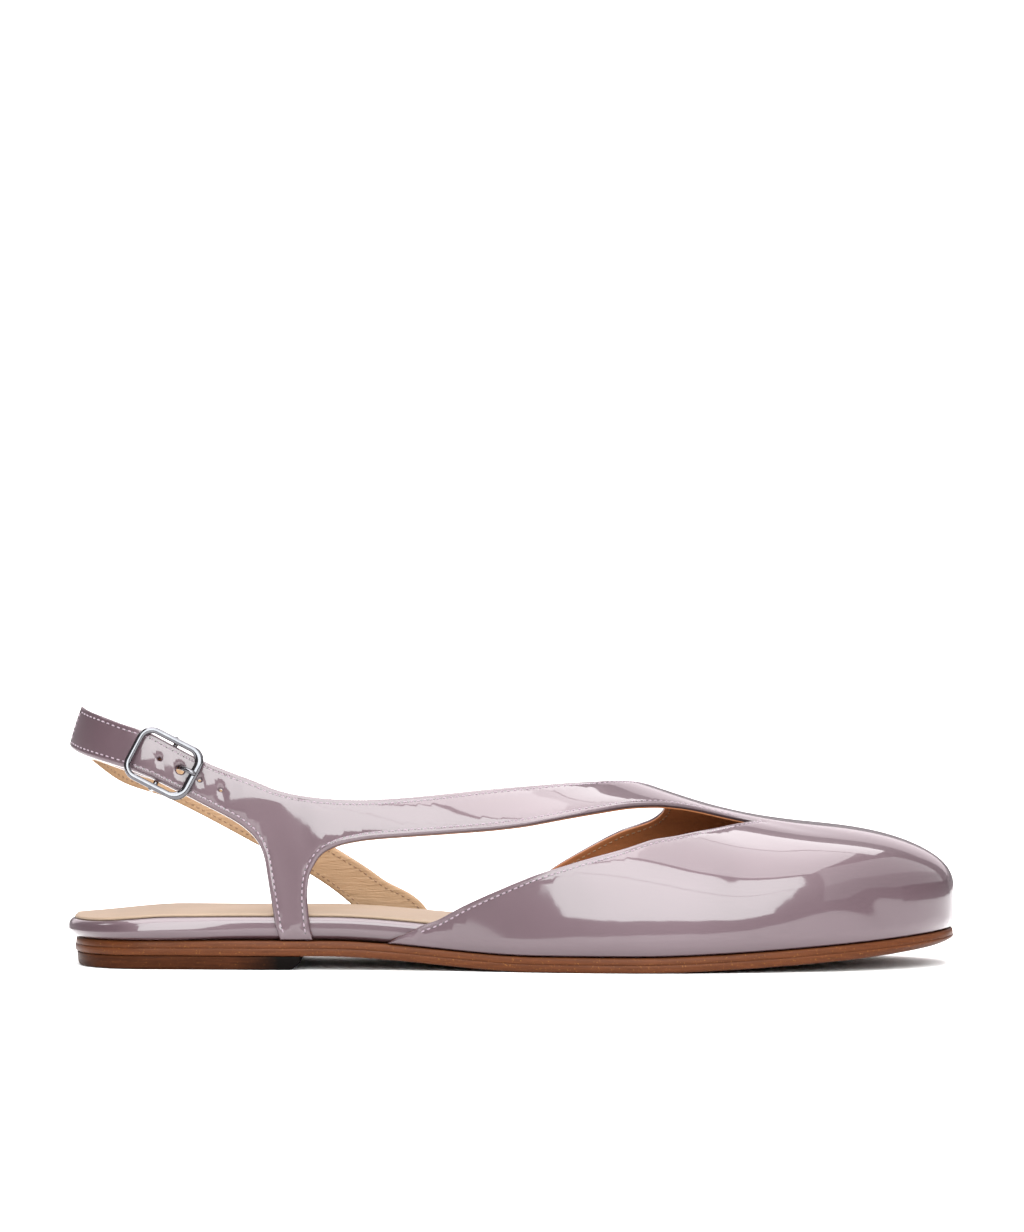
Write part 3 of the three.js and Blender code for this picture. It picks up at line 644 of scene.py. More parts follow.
def stitch_mesh(name, place, runs, lift, side=1.0, sink=no_crease):
    """One arched thread for each stitch. side is -1 where the seam is seen from within."""
    arch = np.sin(np.linspace(0, math.pi, THREAD_RINGS)) ** 0.5
    turn = np.linspace(0, 2 * math.pi, THREAD_SIDES, endpoint=False)[:, None]
    ends = np.linspace(0.5 - STITCH_SHARE / 2, 0.5 + STITCH_SHARE / 2, THREAD_RINGS)[:, None]
    stitches = []
    for run in runs:
        line = even_steps(run, place, STITCH_PITCH)
        for a, b in zip(line, line[1:]):
            spots = a + (b - a) * ends
            depth = lift - side * THREAD_RADIUS * (arch * 1.5 - 1.25) + sink(spots)
            centre = place(spots[:, 0], spots[:, 1], depth)
            deeper = place(spots[:, 0], spots[:, 1], depth + 0.5)
            up = unit((centre - deeper)[THREAD_RINGS // 2])
            sideways = np.cross(unit(centre[-1] - centre[0]), up)
            rings = [point + THREAD_RADIUS * (0.55 + 0.45 * share)
                     * (np.cos(turn) * sideways - np.sin(turn) * up)
                     for point, share in zip(centre, arch)]
            stitches.append(swept(rings, False))
    return joined_mesh(name, stitches)


def needle_holes(name, place, runs, lift, sink=no_crease):
    """Small dents where the needle went through, one between each two stitches."""
    turn = np.linspace(0, 2 * math.pi, DENT_SIDES, endpoint=False)[:, None]
    faces = [(0, 1 + j, 1 + (j + 1) % DENT_SIDES) for j in range(DENT_SIDES)]
    dents = []
    for run in runs:
        line = even_steps(run, place, STITCH_PITCH)
        for a, b in zip(line, line[1:]):
            deep = lift - 0.03 + float(sink(a[None])[0])
            centre = place(a[0], a[1], deep)
            ahead = unit(place(b[0], b[1], deep) - centre)
            up = unit(centre - place(a[0], a[1], deep + 0.5))
            rim = (centre + DENT_LONG * np.cos(turn) * ahead
                   + DENT_WIDE * np.sin(turn) * np.cross(ahead, up) - 0.02 * up)
            dents.append((np.vstack([centre, rim]), faces))
    return joined_mesh(name, dents)


upper_sewn = form_point, seam_line(form_point, upper_parts)
strap_sewn = strap_point, seam_line(strap_point, strap_parts)
upper_stitches = stitch_mesh("upper_stitches", *upper_sewn, STITCH_PRESS, sink=crease_depth)
lining_stitches = stitch_mesh("upper_lining_stitches", *upper_sewn, UPPER_WALL, -1.0, inner_crease)
strap_stitches = stitch_mesh("strap_stitches", *strap_sewn, STITCH_PRESS)
upper_holes_row = needle_holes("upper_needle_holes", *upper_sewn, STITCH_PRESS, crease_depth)
strap_holes_row = needle_holes("strap_needle_holes", *strap_sewn, STITCH_PRESS)
strap_lining_stitches = stitch_mesh("strap_lining_stitches", *strap_sewn, STRAP_WALL, -1.0)

# %% [markdown]
# The sole's layers all follow one outline, so one function draws them: rings of points at
# rising heights, each with its own inset. Sole, footbed, sock and heel differ only in the
# profile of their edge.

# %% Layers of the sole
SOLE_INSET, SOLE_HEEL_INSET, LIFT_INSET = 0.5, 1.6, 0.5
FOOTBED_INSET = UPPER_WALL + 0.6
SOCK_INSET = 2.2
LIFT_FRONT = -0.468 * HALF
LIFT_CORNER = 3.0
ACROSS = 14


def past_heel(x):
    return ease((x - HEEL_CENTRE) / (HEEL_FAN * 1.2))


def sole_edge(x):
    return SOLE_INSET + SOLE_HEEL_INSET * (1 - past_heel(x))


def footbed_edge(x):
    return FOOTBED_INSET * past_heel(x)


def layer_rungs(inset_at, front=HALF, end_steps=30, side_steps=110):
    turn = np.linspace(math.pi / 2, 0, end_steps, endpoint=False)
    heel = (HEEL_CENTRE - (HEEL_FAN - inset_at(HEEL_CENTRE)) * np.sin(turn) ** (2 / ROUND_INSTEP),
            np.cos(turn) ** (2 / ROUND_INSTEP))
    side_end = min(TOE_START, front)
    side = np.linspace(HEEL_CENTRE, side_end, side_steps)
    xs, shares = [heel[0], side], [heel[1], np.ones(side_steps)]
    if front >= HALF:
        turn = np.linspace(0, math.pi / 2, end_steps + 1)[1:]
        xs.append(TOE_START + (TOE_FAN - inset_at(HALF)) * np.sin(turn) ** (2 / ROUND_TOE))
        shares.append(np.abs(np.cos(turn)) ** (2 / ROUND_TOE))
    x, share = np.concatenate(xs), np.concatenate(shares)
    row = np.maximum(HEEL_CENTRE, x)
    lean, inset = crown_lean(row), inset_at(row)
    outer = lean - share * (outer_width(row) + lean - inset)
    inner = lean + share * (inner_width(row) - lean - inset)
    return x, outer, inner


def sole_layer(name, levels, crown=None):
    """levels: rows of (inset function, height function, front). crown lifts the top's middle."""
    rings = []
    for inset_at, height, front in levels:
        x, outer, inner = layer_rungs(inset_at, front)
        x = np.concatenate([x, x[::-1]])
        rings.append(np.stack([x, np.concatenate([outer, inner[::-1]]), height(x)], axis=1))
    size = len(rings[0])
    count = size // 2
    points = np.vstack(rings)
    faces = [(a + i, a + (i + 1) % size, a + size + (i + 1) % size, a + size + i)
             for a in range(0, size * (len(rings) - 1), size) for i in range(size)]
    shares = np.linspace(0, 1, ACROSS + 1)[1:-1]
    for level, flip in ((0, False), (len(levels) - 1, True)):
        left, right = rings[level][:count], rings[level][::-1][:count]
        rows = left[:, None, :] + (right - left)[:, None, :] * shares[None, :, None]
        if flip and crown is not None:
            rows[:, :, 2] += crown(shares[None, :] * 2 - 1)
        number = np.empty((count, ACROSS + 1), int)
        number[:, 0] = level * size + np.arange(count)
        number[:, -1] = level * size + size - 1 - np.arange(count)
        number[:, 1:-1] = len(points) + np.arange(count * (ACROSS - 1)).reshape(count, -1)
        points = np.vstack([points, rows.reshape(-1, 3)])
        corners = number[:-1, :-1], number[:-1, 1:], number[1:, 1:], number[1:, :-1]
        quads = np.stack(corners, axis=-1).reshape(-1, 4)
        faces += (quads[:, ::-1] if flip else quads).tolist()
    piece = mesh_object(name, points, faces)
    clean_up(piece)
    return piece


def clean_up(piece):
    """Merges the points that meet at the heel and toe ends."""
    work = bmesh.new()
    work.from_mesh(piece.data)
    bmesh.ops.remove_doubles(work, verts=work.verts, dist=1e-6)
    bmesh.ops.dissolve_degenerate(work, edges=work.edges, dist=1e-7)
    work.to_mesh(piece.data)
    work.free()


def profile(rows, edge, base, thickness, front=None):
    """Levels from rows of (share of the height, inset)."""
    return [(lambda x, i=inset: edge(x) + i,
             lambda x, r=rise: base(x) + r * thickness(x),
             HALF if front is None else front(rise)) for rise, inset in rows]


SOLE_ROWS = [(0, 1.1), (0.02, 0.75), (0.06, 0.4), (0.12, 0.14), (0.2, 0.03), (0.34, 0.0),
             (0.46, 0.02), (0.50, 0.08), (0.515, 0.34), (0.55, 0.38), (0.575, 0.22), (0.62, 0.2),
             (0.8, 0.26), (0.92, 0.4), (0.97, 0.62), (1, 0.9)]
TOE_PARING, PARING_START, PARING_TOP = 4.0, 0.72, 0.45


def tip_share(x):
    return ease((x / HALF - PARING_START) / (1 - PARING_START))


def pared(rise):
    """How far a level is pared away at the tip of the toe, most of all the lowest."""
    return TOE_PARING * max(0.0, 1 - rise / PARING_TOP) ** 1.5


def sole_levels():
    return [(lambda x, i=inset, p=pared(rise): sole_edge(x) + i + p * tip_share(x),
             lambda x, r=rise: sole_bottom(x) + r * SOLE_THICKNESS, HALF)
            for rise, inset in SOLE_ROWS]


outsole = sole_layer("outsole_leather", sole_levels())
# rise, inset at the heel's back, inset along the sides
FOOTBED_ROWS = [(0, 1.9, 1.7), (0.08, 1.05, 0.75), (0.2, 0.42, 0.22), (0.36, 0.0, 0.02),
                (0.5, 0.05, 0.0), (0.7, 0.3, 0.06), (0.84, 0.68, 0.22), (0.92, 1.05, 0.5),
                (0.97, 1.5, 0.95), (1, 2.2, 1.8)]


def footbed_levels(steps=26):
    rises, backs, sides = zip(*FOOTBED_ROWS)
    back, side = curve_through(rises, backs), curve_through(rises, sides)
    levels = []
    for rise in np.linspace(0, 1, steps) ** 0.8:
        b, a = float(back(rise)), float(side(rise))
        levels.append((
            lambda x, a=a, b=b: footbed_edge(x) + b + (a - b) * past_heel(x),
            lambda x, r=rise: sole_top(x) + SEAT + r * (FOOTBED_THICKNESS - heel_drop(x)), HALF))
    return levels


footbed = sole_layer("footbed_cover", footbed_levels())
SOCK_ROWS = [(0, 0.0), (0.5, 0.02), (0.8, 0.12), (0.94, 0.34), (1, 0.7)]
SOCK_CROWN = 0.5
sock = sole_layer("sock_leather", profile(
    SOCK_ROWS, lambda x: footbed_edge(x) + SOCK_INSET - 0.2,
    lambda x: sole_top(x) + 1.2 * SEAT + FOOTBED_THICKNESS - heel_drop(x),
    lambda x: SOCK_THICKNESS), crown=lambda share: SOCK_CROWN * (1 - share ** 2))
LIFT_ROWS = [(0, 1.3), (0.03, 0.95), (0.1, 0.6), (0.25, 0.35), (0.6, 0.12), (0.95, 0.0), (1, 0.05)]
heel_lift = sole_layer("heel_leather", profile(
    LIFT_ROWS, lambda x: sole_edge(x) + LIFT_INSET, lambda x: 0 * x,
    lambda x: LIFT_THICKNESS - 0.05,
    front=lambda rise: LIFT_FRONT - LIFT_CORNER * max(0, 1 - rise / 0.75) ** 2.2))

# %% [markdown]
# The buckle is cast metal, plated and polished: a rounded frame, broader at the bar that
# the prong rests on, a thin centre bar under the strap, and a bent prong. It is drawn in its
# own flat plane and then set on the strap with one matrix.

# %% Buckle
BUCKLE_LENGTH, BUCKLE_HEIGHT, BUCKLE_CORNER = 19.8, 16.0, 4.5
BUCKLE_WIRE, BAR_WIRE, PRONG_WIRE, EYE_WIRE = 1.8, 1.4, 1.3, 0.8
BUCKLE_STATION = -0.771 * HALF
EYE_RADIUS = BAR_WIRE / 2 + 0.2 + EYE_WIRE / 2
BAR_DROP = BUCKLE_WIRE / 2 + 2 * SEAT + UPPER_WALL + 0.25 + EYE_RADIUS + EYE_WIRE / 2
# The frame hangs a little low on the strap, so the prong crosses it above its middle
BUCKLE_SAG = 1.2


def buckle_matrix():
    def height(station):
        top = form_point(station, edge_top(station))[2]
        low = form_point(station, edge_low(station))[2]
        return (top + low) / 2
    middle = sling_middle(BUCKLE_STATION)
    rise = form_point(BUCKLE_STATION, middle) - form_point(BUCKLE_STATION, middle - 0.01)
    girth = middle - 0.01 * BUCKLE_SAG / math.hypot(rise[1], rise[2])
    centre = form_point(BUCKLE_STATION, girth)
    lower = form_point(BUCKLE_STATION, girth - 0.02)
    ahead = form_point(BUCKLE_STATION + 4, girth)
    slope = math.atan2(lower[1] - centre[1], centre[2] - lower[2])
    yaw = math.atan2(ahead[1] - centre[1], ahead[0] - centre[0])
    tilt = math.atan2(height(BUCKLE_STATION) - height(PRONG_HOLE), PRONG_HOLE - BUCKLE_STATION)
    spin = (Matrix.Rotation(yaw, 4, "Z") @ Matrix.Rotation(slope, 4, "X")
            @ Matrix.Rotation(tilt, 4, "Y") @ Matrix.Rotation(math.pi / 2, 4, "X"))
    lift = Matrix.Translation((0, 0, BUCKLE_WIRE / 2 + SEAT))
    return Matrix.Translation(Vector(centre)) @ spin @ lift


on_strap = np.array(buckle_matrix())


def set_on_strap(points):
    return np.asarray(points) @ on_strap[:3, :3].T + on_strap[:3, 3]


def rounded_loop(steps=10):
    """The middle line of the frame's wire: four quarter rounds and the straight runs between."""
    bend = BUCKLE_CORNER - BUCKLE_WIRE / 2
    middle = np.array([BUCKLE_LENGTH, BUCKLE_HEIGHT]) / 2 - BUCKLE_CORNER
    corners = []
    for sx, sy, quarter in ((1, 1, 0), (-1, 1, 1), (-1, -1, 2), (1, -1, 3)):
        turn = (quarter + np.linspace(0, 1, steps)) * math.pi / 2
        corners.append(middle * (sx, sy) + bend * np.stack([np.cos(turn), np.sin(turn)], axis=1))
    path = np.vstack(corners)
    fine = []
    for a, b in zip(path, np.roll(path, -1, axis=0)):
        parts = max(1, round(np.linalg.norm(b - a) / 0.8))
        fine += [a + (b - a) * k / parts for k in range(parts)]
    return np.array(fine)


def wire_rings(path, radius, sides=16, up=(0, 1, 0)):
    """Rings of a round wire along an open path in space."""
    path = np.asarray(path, float)
    radius = np.broadcast_to(radius, (len(path),))
    turn = np.linspace(0, 2 * math.pi, sides, endpoint=False)[:, None]
    rings = []
    for i, point in enumerate(path):
        run = unit(path[min(i + 1, len(path) - 1)] - path[max(i - 1, 0)])
        side = unit(np.cross(run, up))
        rise = np.cross(side, run)
        rings.append(point + radius[i] * (np.cos(turn) * side + np.sin(turn) * rise))
    return rings


def join_parts(name, parts):
    return joined_mesh(name, [(set_on_strap(points), faces) for points, faces in parts])


# The wire is a little square in section, and broader where the prong rests
WIRE_SQUARE, WIRE_BROAD, BROAD_LONG = 0.8, 0.35, 3.0


def buckle_frame_rings(sides=20):
    path = rounded_loop()
    turn = np.linspace(0, 2 * math.pi, sides, endpoint=False)
    wide, up = (np.sign(v) * np.abs(v) ** WIRE_SQUARE * BUCKLE_WIRE / 2
                for v in (np.cos(turn), np.sin(turn)))
    rings = []
    for i, (x, y) in enumerate(path):
        run = unit(path[(i + 1) % len(path)] - path[i - 1])
        out = wide * (1 + WIRE_BROAD * ease((x - BUCKLE_LENGTH / 4) / BROAD_LONG))
        rings.append(np.stack([x + run[1] * out, y - run[0] * out, up], axis=1))
    return rings


LEG_OUT, BAR_BEND = 0.5, 1.4
leg = (BUCKLE_HEIGHT - BUCKLE_WIRE) / 2 + LEG_OUT
bar_path = [(0, -leg, 0.2 - t) for t in np.linspace(0.2, BAR_DROP - BAR_BEND, 6)]
bar_path += [(0, -leg + BAR_BEND * (1 - math.cos(a)), -BAR_DROP + BAR_BEND * (1 - math.sin(a)))
             for a in np.linspace(0, math.pi / 2, 8)]
bar_path += [(x, -y, z) for x, y, z in bar_path[::-1]]
buckle_frame = join_parts("buckle_metal_frame", [
    swept(buckle_frame_rings(), True),
    swept(wire_rings(bar_path, BAR_WIRE / 2, up=(1, 0, 0)), False)])

hole_x = PRONG_HOLE - BUCKLE_STATION
rest = BUCKLE_WIRE / 2 + PRONG_WIRE / 2 + 0.1
prong_rows = [(EYE_RADIUS, -BAR_DROP), (hole_x * 0.65, -BAR_DROP), (hole_x * 0.95, -BAR_DROP + 1.5),
              (hole_x + 0.2, -BAR_DROP / 2), (hole_x + 0.7, -0.4), (hole_x + 2, rest - 0.5),
              (BUCKLE_LENGTH / 2 - 2, rest + 0.15), (BUCKLE_LENGTH / 2 + 0.2, rest)]
prong_line = smooth_line([(x, z / GIRTH_SCALE) for x, z in prong_rows])
prong_path = [(x, BUCKLE_SAG, z * GIRTH_SCALE) for x, z in prong_line[::5]]
TIP_SHARE = 0.55
prong_size = PRONG_WIRE / 2 * np.minimum(1, TIP_SHARE + np.linspace(4, 0, len(prong_path)) ** 0.5)
ring_turn = np.linspace(0, 2 * math.pi, 10, endpoint=False)
reach, width = EYE_RADIUS + EYE_WIRE / 2 * np.cos(ring_turn), EYE_WIRE * 0.8 * np.sin(ring_turn)
eye_rings = [np.stack([reach * math.cos(a), BUCKLE_SAG + width, reach * math.sin(a) - BAR_DROP], axis=1)
             for a in np.linspace(0, 2 * math.pi, 28, endpoint=False)]
buckle_prong = join_parts("buckle_metal_prong", [
    swept(wire_rings(prong_path, prong_size), False), swept(eye_rings, True)])

# %% [markdown]
# Each material starts from what the real one is. One function adds a node with its
# settings and links, so that a material reads from top to bottom as a list of nodes.

# %% Material helpers
def linear(hex_colour):
    parts = [int(hex_colour[i:i + 2], 16) / 255 for i in (1, 3, 5)]
    return tuple(c / 12.92 if c <= 0.04045 else ((c + 0.055) / 1.055) ** 2.4 for c in parts) + (1.0,)


def add_node(material, kind, settings=None, inputs=None, links=None):
    """Adds a node, sets its properties and sockets, and links sockets to other outputs."""
    node = material.node_tree.nodes.new(kind)
    for key, value in (settings or {}).items():
        setattr(node, key, value)
    for key, value in (inputs or {}).items():
        node.inputs[key].default_value = value
    for key, source in (links or {}).items():
        material.node_tree.links.new(source, node.inputs[key])
    return node


def new_material(name):
    material = bpy.data.materials.new(name)
    material.use_nodes = True
    material.node_tree.nodes.clear()
    return material


def finish_material(material, inputs, links=None):
    """Adds the surface shader and the output."""
    shader = add_node(material, "ShaderNodeBsdfPrincipled", None, inputs, links)
    add_node(material, "ShaderNodeOutputMaterial", links={"Surface": shader.outputs[0]})
    return material


def place_in_mm(material):
    """The object's own coordinates, scaled to millimetres."""
    spot = add_node(material, "ShaderNodeTexCoord")
    return add_node(material, "ShaderNodeVectorMath", {"operation": "SCALE"}, {"Scale": 1000.0},
                    {0: spot.outputs["Object"]}).outputs[0]


def noise(material, place, size_mm, detail=2.0, rough=0.5):
    return add_node(material, "ShaderNodeTexNoise", None,
                    {"Scale": 1.0 / size_mm, "Detail": detail, "Roughness": rough},
                    {"Vector": place}).outputs[0]


def stretched_noise(material, place, factors, inputs):
    """Noise that runs longer one way than another, as fibres and creases do."""
    wide = add_node(material, "ShaderNodeVectorMath", {"operation": "MULTIPLY"}, {1: factors},
                    {0: place}).outputs[0]
    return add_node(material, "ShaderNodeTexNoise", None, inputs, {"Vector": wide}).outputs[0]


def ramp(material, source, stops):
    node = add_node(material, "ShaderNodeValToRGB", links={"Fac": source})
    elements = node.color_ramp.elements
    for element, (at, colour) in zip(elements, stops):
        element.position = at
        element.color = linear(colour) if isinstance(colour, str) else (colour,) * 3 + (1.0,)
    return node.outputs["Color"]


def mixed(material, share, base, colour):
    return add_node(material, "ShaderNodeMix", {"data_type": "RGBA"}, {7: linear(colour)},
                    {0: share, 6: base}).outputs[2]


def bump(material, height, deep_mm, normal=None, strength=1.0):
    links = {"Height": height}
    if normal is not None:
        links["Normal"] = normal
    return add_node(material, "ShaderNodeBump", None,
                    {"Strength": strength, "Distance": deep_mm * MM}, links).outputs[0]


# %% [markdown]
# Patent leather is calf leather under several coats of clear lacquer, rolled smooth. The
# colour sits below, slightly satin, and the lacquer mirrors the room. Two very shallow
# waves, 22 mm and 5 mm long, bend the mirror a little, as the real skin under it does.

# %% Patent leather
def patent_leather(name, deep, middle, wave=0.13):
    material = new_material(name)
    place = place_in_mm(material)
    colour = ramp(material, noise(material, place, 35.0), [(0.3, deep), (0.7, middle)])
    long_wave = bump(material, noise(material, place, 22.0, 1.0), wave)
    waved = bump(material, noise(material, place, 5.0, 1.0), wave * 0.12, long_wave)
    return finish_material(material, {
        "Roughness": 0.45, "Metallic": 0.4, "Coat Weight": 1.0, "Coat Roughness": 0.055,
        "Coat IOR": 1.5}, {"Base Color": colour, "Normal": waved, "Coat Normal": waved})


lacquered_lilac = patent_leather("patent leather, lilac pearl lacquer", "#48363c", "#4d3a41")

# %% [markdown]
# The lining and the sock are vegetable tanned leather, unlacquered: matt, with a fine grain
# of about 0.5 mm and faint clouds where the skin took the dye unevenly. The straps' lining
# also creases across in soft rows about 3 mm apart.

# %% Tanned lining leather
def tanned_leather(name, light, dark, wrinkle):
    material = new_material(name)
    place = place_in_mm(material)
    cloud = noise(material, place, 14.0, 3.0, 0.6)
    grain = bump(material, noise(material, place, 0.55, 3.0, 0.6), 0.05)
    creases = stretched_noise(material, place, (0.35, 0.6, 2.2),
                              {"Scale": 0.34, "Detail": 2.0, "Roughness": 0.5, "Distortion": 0.8})
    return finish_material(material, {"Roughness": 0.62, "IOR": 1.45}, {
        "Base Color": ramp(material, cloud, [(0.25, dark), (0.75, light)]),
        "Normal": bump(material, creases, wrinkle, grain)})


strap_tan = tanned_leather("tanned lining leather, creased", "#9d7e60", "#917355", wrinkle=0.35)
vamp_tan = tanned_leather("tanned lining leather, smooth", "#8e5630", "#7e4824", wrinkle=0.1)
sock_tan = tanned_leather("tanned sock leather, buffed", "#85715f", "#7d6a58", wrinkle=0.001)

# %% [markdown]
# Sole leather is bark tanned cowhide. Its cut edge is dyed, waxed and burnished with a hot
# iron, in two bands with a light line between. The upper band stays rougher, with pale
# flecks of fibre. The heel is the same leather, darker, with painted shade that turns it
# nearly black at its breast.

# %% Sole and heel leather
# Painted shade darkens the heel towards its breast between these two distances behind its front
BREAST_SHADE_FADE = (19.0, 6.0)


def sole_leather(name, dark, mid, fleck, rough, shine, breast_shade=None):
    material = new_material(name)
    place = place_in_mm(material)
    fibres = stretched_noise(material, place, (0.12, 0.12, 1.3),
                             {"Scale": 1.0, "Detail": 4.0, "Roughness": 0.65})
    specks = ramp(material, noise(material, place, 0.6, 2.0, 0.7), [(0.62, 0.0), (0.72, 0.7)])
    colour = mixed(material, specks, ramp(material, fibres, [(0.3, dark), (0.7, mid)]), fleck)
    # Painted shade: the heel's colour fades to the near black breast colour towards its front
    if breast_shade:
        where = add_node(material, "ShaderNodeSeparateXYZ", links={0: place}).outputs[0]
        start, end = (LIFT_FRONT - back for back in BREAST_SHADE_FADE)
        front = add_node(material, "ShaderNodeMapRange", None,
                         {"From Min": start, "From Max": end}, {"Value": where})
        colour = mixed(material, front.outputs[0], colour, breast_shade)
    return finish_material(material, {"Roughness": rough, "IOR": 1.5, "Specular IOR Level": shine},
                           {"Base Color": colour, "Normal": bump(material, fibres, 0.06)})


waxed_edge = sole_leather("sole leather, waxed edge", "#42210f", "#532c16", "#7d5226", 0.42, 0.1)
# The heel's last colour is painted shade, near black at its breast
dark_heel = sole_leather("heel leather, dark polish, painted shade at its front", "#2c150b", "#3f2112", "#5b3a1e",
                         0.38, 0.03, "#090605")

# %% [markdown]
# The thread is bonded nylon, a little paler and pinker than the leather. The buckle is zinc
# under bright nickel, polished, so it is nearly all reflection.

# %% Thread and metal
def thread(name, dark, light):
    material = new_material(name)
    twist = add_node(material, "ShaderNodeTexWave", None, {"Scale": 1.6, "Distortion": 0.5},
                     {"Vector": place_in_mm(material)}).outputs["Fac"]
    return finish_material(material, {"Roughness": 0.5, "IOR": 1.5, "Sheen Weight": 0.3}, {
        # The thread's own tone, darker where the twist sinks: partly painted shade in the grooves
        # between the plies
        "Base Color": ramp(material, twist, [(0.0, dark), (1.0, light)]),
        "Normal": bump(material, twist, 0.05, strength=0.6)})


def bright_nickel(name):
    material = new_material(name)
    place = place_in_mm(material)
    rough = add_node(material, "ShaderNodeMapRange", None, {"To Min": 0.05, "To Max": 0.16},
                     {"Value": noise(material, place, 0.8, 3.0, 0.6)})
    tone = ramp(material, noise(material, place, 4.0, 2.0), [(0.3, "#57565a"), (0.7, "#605f62")])
    return finish_material(material, {"Metallic": 1.0},
                           {"Base Color": tone, "Roughness": rough.outputs[0]})


# Painted shade: the needle dents are a near black copy of the lacquer, for the shade inside the holes
shadowed_dent = patent_leather("patent leather, needle dent, painted shade", "#1d1418", "#221a1e", 0.0)
lilac_thread = thread("bonded thread, pale lilac", "#77656f", "#917f8a")
tan_thread = thread("bonded thread, cream", "#6f4f34", "#84613f")
nickel = bright_nickel("bright nickel plate, polished")

# %% [markdown]
# Now every piece gets its finish and rides on the root body, and the node that it stands for
# is hidden.

# %% Dress the pieces
DRESS = [
    (upper_skin, lacquered_lilac, "patent", "upper"),
    (upper_lining, vamp_tan, "lining", "upper"),
    (upper_stitches, lilac_thread, "patent", "upper"),
    (upper_holes_row, shadowed_dent, "patent", "upper"),
    (strap_holes_row, shadowed_dent, "patent", "back_strap"),
    (lining_stitches, tan_thread, "lining", "upper"),
    (back_strap_skin, lacquered_lilac, "patent", "back_strap"),
    (back_strap_lining, strap_tan, "lining", "back_strap"),
    (strap_stitches, lilac_thread, "patent", "back_strap"),
    (strap_lining_stitches, tan_thread, "lining", "back_strap"),
    (footbed, lacquered_lilac, "patent", "footbed"),
    (sock, sock_tan, "lining", "sock"),
    (outsole, waxed_edge, "sole_leather", "outsole"),
    (heel_lift, dark_heel, "heel_leather", "heel_lift"),
    (buckle_frame, nickel, "buckle_metal", "buckle_frame"),
    (buckle_prong, nickel, "buckle_metal", "buckle_prong"),
]
for piece, finish, slot, node in DRESS:
    piece.data.materials.append(finish)
    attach(piece, "root")
    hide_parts(node)
print("pieces dressed:", len(DRESS))

# %% [markdown]
# The picture is a studio product shot: a level camera 1.3 m from the shoe's side and a
# white sweep. Each light stands where the gloss of the real shoe mirrors one: two softboxes
# in front, two above, one behind, weak fills to the right and behind, and a small one left.

# %% Camera
CAMERA_DISTANCE = 1.300
CAMERA_HEIGHT = 0.0978
FOCAL_PIXELS = 4612.0
IMAGE_TALL = 1232.0
SENSOR = 36.0
camera = bpy.data.objects.new("camera", bpy.data.cameras.new("camera"))
camera.data.sensor_width = SENSOR
camera.data.sensor_fit = "AUTO"
camera.data.lens = FOCAL_PIXELS / IMAGE_TALL * SENSOR
camera.location = (0.0, -CAMERA_DISTANCE, CAMERA_HEIGHT)
camera.rotation_euler = (math.pi / 2, 0.0, 0.0)
camera.data.clip_start = 0.05
bpy.context.scene.collection.objects.link(camera)
bpy.context.scene.camera = camera

# %% Floor and light
SWEEP_START, SWEEP_RADIUS, SWEEP_TOP = 1800.0, 900.0, 5000.0


def paper_sweep():
    """White paper that runs back flat, bends up in a quarter circle and goes on upright."""
    profile_line = [(SWEEP_START, 0.0)]
    for a in np.linspace(0, math.pi / 2, 17)[1:]:
        profile_line.append((SWEEP_START + SWEEP_RADIUS * math.sin(a),
                             SWEEP_RADIUS * (1 - math.cos(a))))
    profile_line.append((SWEEP_START + SWEEP_RADIUS, SWEEP_TOP))
    points = [(x, y, z) for y, z in profile_line for x in (-4500.0, 4500.0)]
    faces = [(2 * i, 2 * i + 1, 2 * i + 3, 2 * i + 2) for i in range(len(profile_line) - 1)]
    return mesh_object("backdrop", points, faces)


backdrop = paper_sweep()
backdrop.visible_glossy = False
floor = mesh_object("floor", [(-4500, -4500, 0), (4500, -4500, 0), (4500, 1900, 0),
                              (-4500, 1900, 0)], [(0, 1, 2, 3)])
paper = new_material("white paper sweep, matt")
paper_place = place_in_mm(paper)
paper_tone = ramp(paper, noise(paper, paper_place, 300.0), [(0.3, "#f1f0f0"), (0.7, "#f5f4f4")])
finish_material(paper, {"Roughness": 0.9, "Specular IOR Level": 0.2}, {"Base Color": paper_tone})
for sheet in (floor, backdrop):
    sheet.data.materials.append(paper)


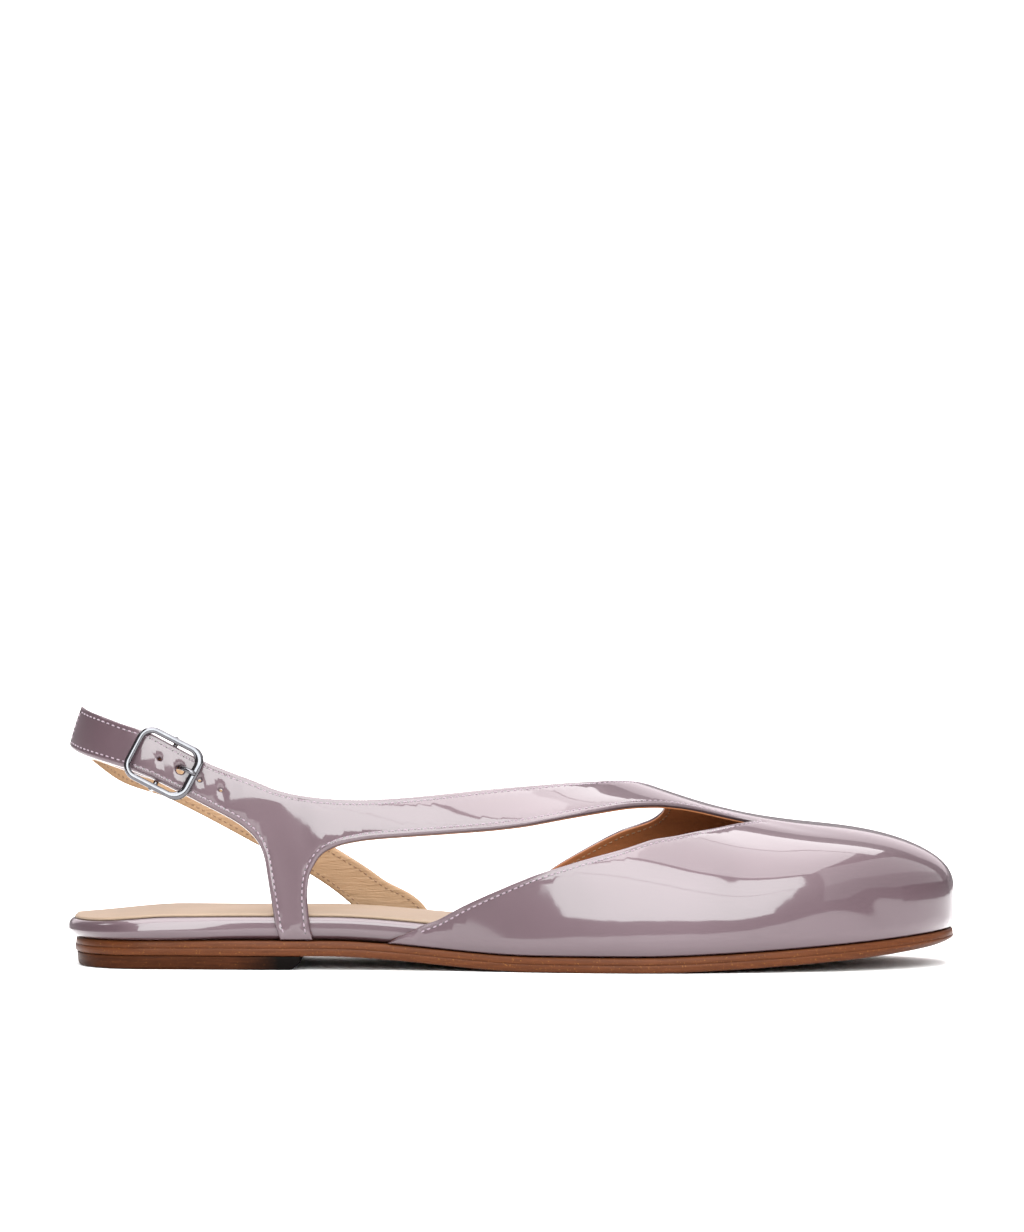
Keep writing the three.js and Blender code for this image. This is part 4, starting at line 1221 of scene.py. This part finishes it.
def softbox(name, place, aim, size, radiance, colour="#ffffff"):
    """A flat rectangular light of an even brightness, in metres."""
    light = bpy.data.lights.new(name, "AREA")
    light.shape = "RECTANGLE"
    light.size, light.size_y = size
    light.energy = radiance * math.pi * size[0] * size[1]
    light.color = linear(colour)[:3]
    lamp = bpy.data.objects.new(name, light)
    lamp.location = place
    lamp.rotation_euler = (Vector(aim) - Vector(place)).to_track_quat("-Z", "Y").to_euler()
    bpy.context.scene.collection.objects.link(lamp)
    return lamp


# name, place, aim, size, radiance
SOFTBOXES = [
    ("front softbox, low", (0.05, -2.2, 0.74), (0.05, 0.0, 0.74), (1.62, 0.87), 9.0, "#f8fffd"),
    ("front softbox, high", (-0.04, -2.2, 1.79), (-0.04, 0.0, 1.79), (1.86, 1.2), 9.0, "#f8fffd"),
    ("top softbox", (-0.5, -0.75, 2.4), (-0.5, -0.75, 0.0), (1.3, 2.5), 8.0),
    ("top softbox, right", (0.55, -0.75, 2.4), (0.55, -0.75, 0.0), (0.8, 2.5), 5.5),
    ("back softbox", (0.1, 1.05, 2.4), (0.1, 0.9, 0.0), (2.4, 1.0), 6.0),
    ("back fill", (0.0, 2.4, 1.3), (0.0, 0.0, 1.3), (4.0, 1.6), 1.2, "#fbeef3"),
    ("right fill, low", (1.95, -0.4, 0.72), (0.05, 0.22, 0.72), (4.2, 0.8), 1.0),
    ("right fill, high", (1.95, -0.4, 2.37), (0.05, 0.22, 2.37), (4.2, 2.5), 1.9),
    ("left softbox", (-1.9, 0.0, 1.9), (0.0, 0.0, 0.0), (0.7, 0.5), 6.0),
]
for row in SOFTBOXES:
    softbox(*row)
# A black card on the right keeps the tip of the toe dark against the white paper
CARD_X, CARD_FRONT, CARD_BACK, CARD_TALL = 900, -320, 800, 170
card = mesh_object("black card", [(CARD_X, CARD_FRONT, 0), (CARD_X, CARD_BACK, 0),
                                  (CARD_X, CARD_BACK, CARD_TALL), (CARD_X, CARD_FRONT, CARD_TALL)],
                   [(0, 1, 2, 3)])
black_felt = new_material("black felt on card")
finish_material(black_felt, {"Base Color": linear("#0b0b0b"), "Roughness": 1.0,
                             "Specular IOR Level": 0.1})
card.data.materials.append(black_felt)
world = bpy.data.worlds.new("studio")
bpy.context.scene.world = world
world.use_nodes = True
world.node_tree.nodes["Background"].inputs[0].default_value = linear("#f3ebef")
world.node_tree.nodes["Background"].inputs[1].default_value = 0.36
bpy.context.scene.view_settings.view_transform = "Standard"
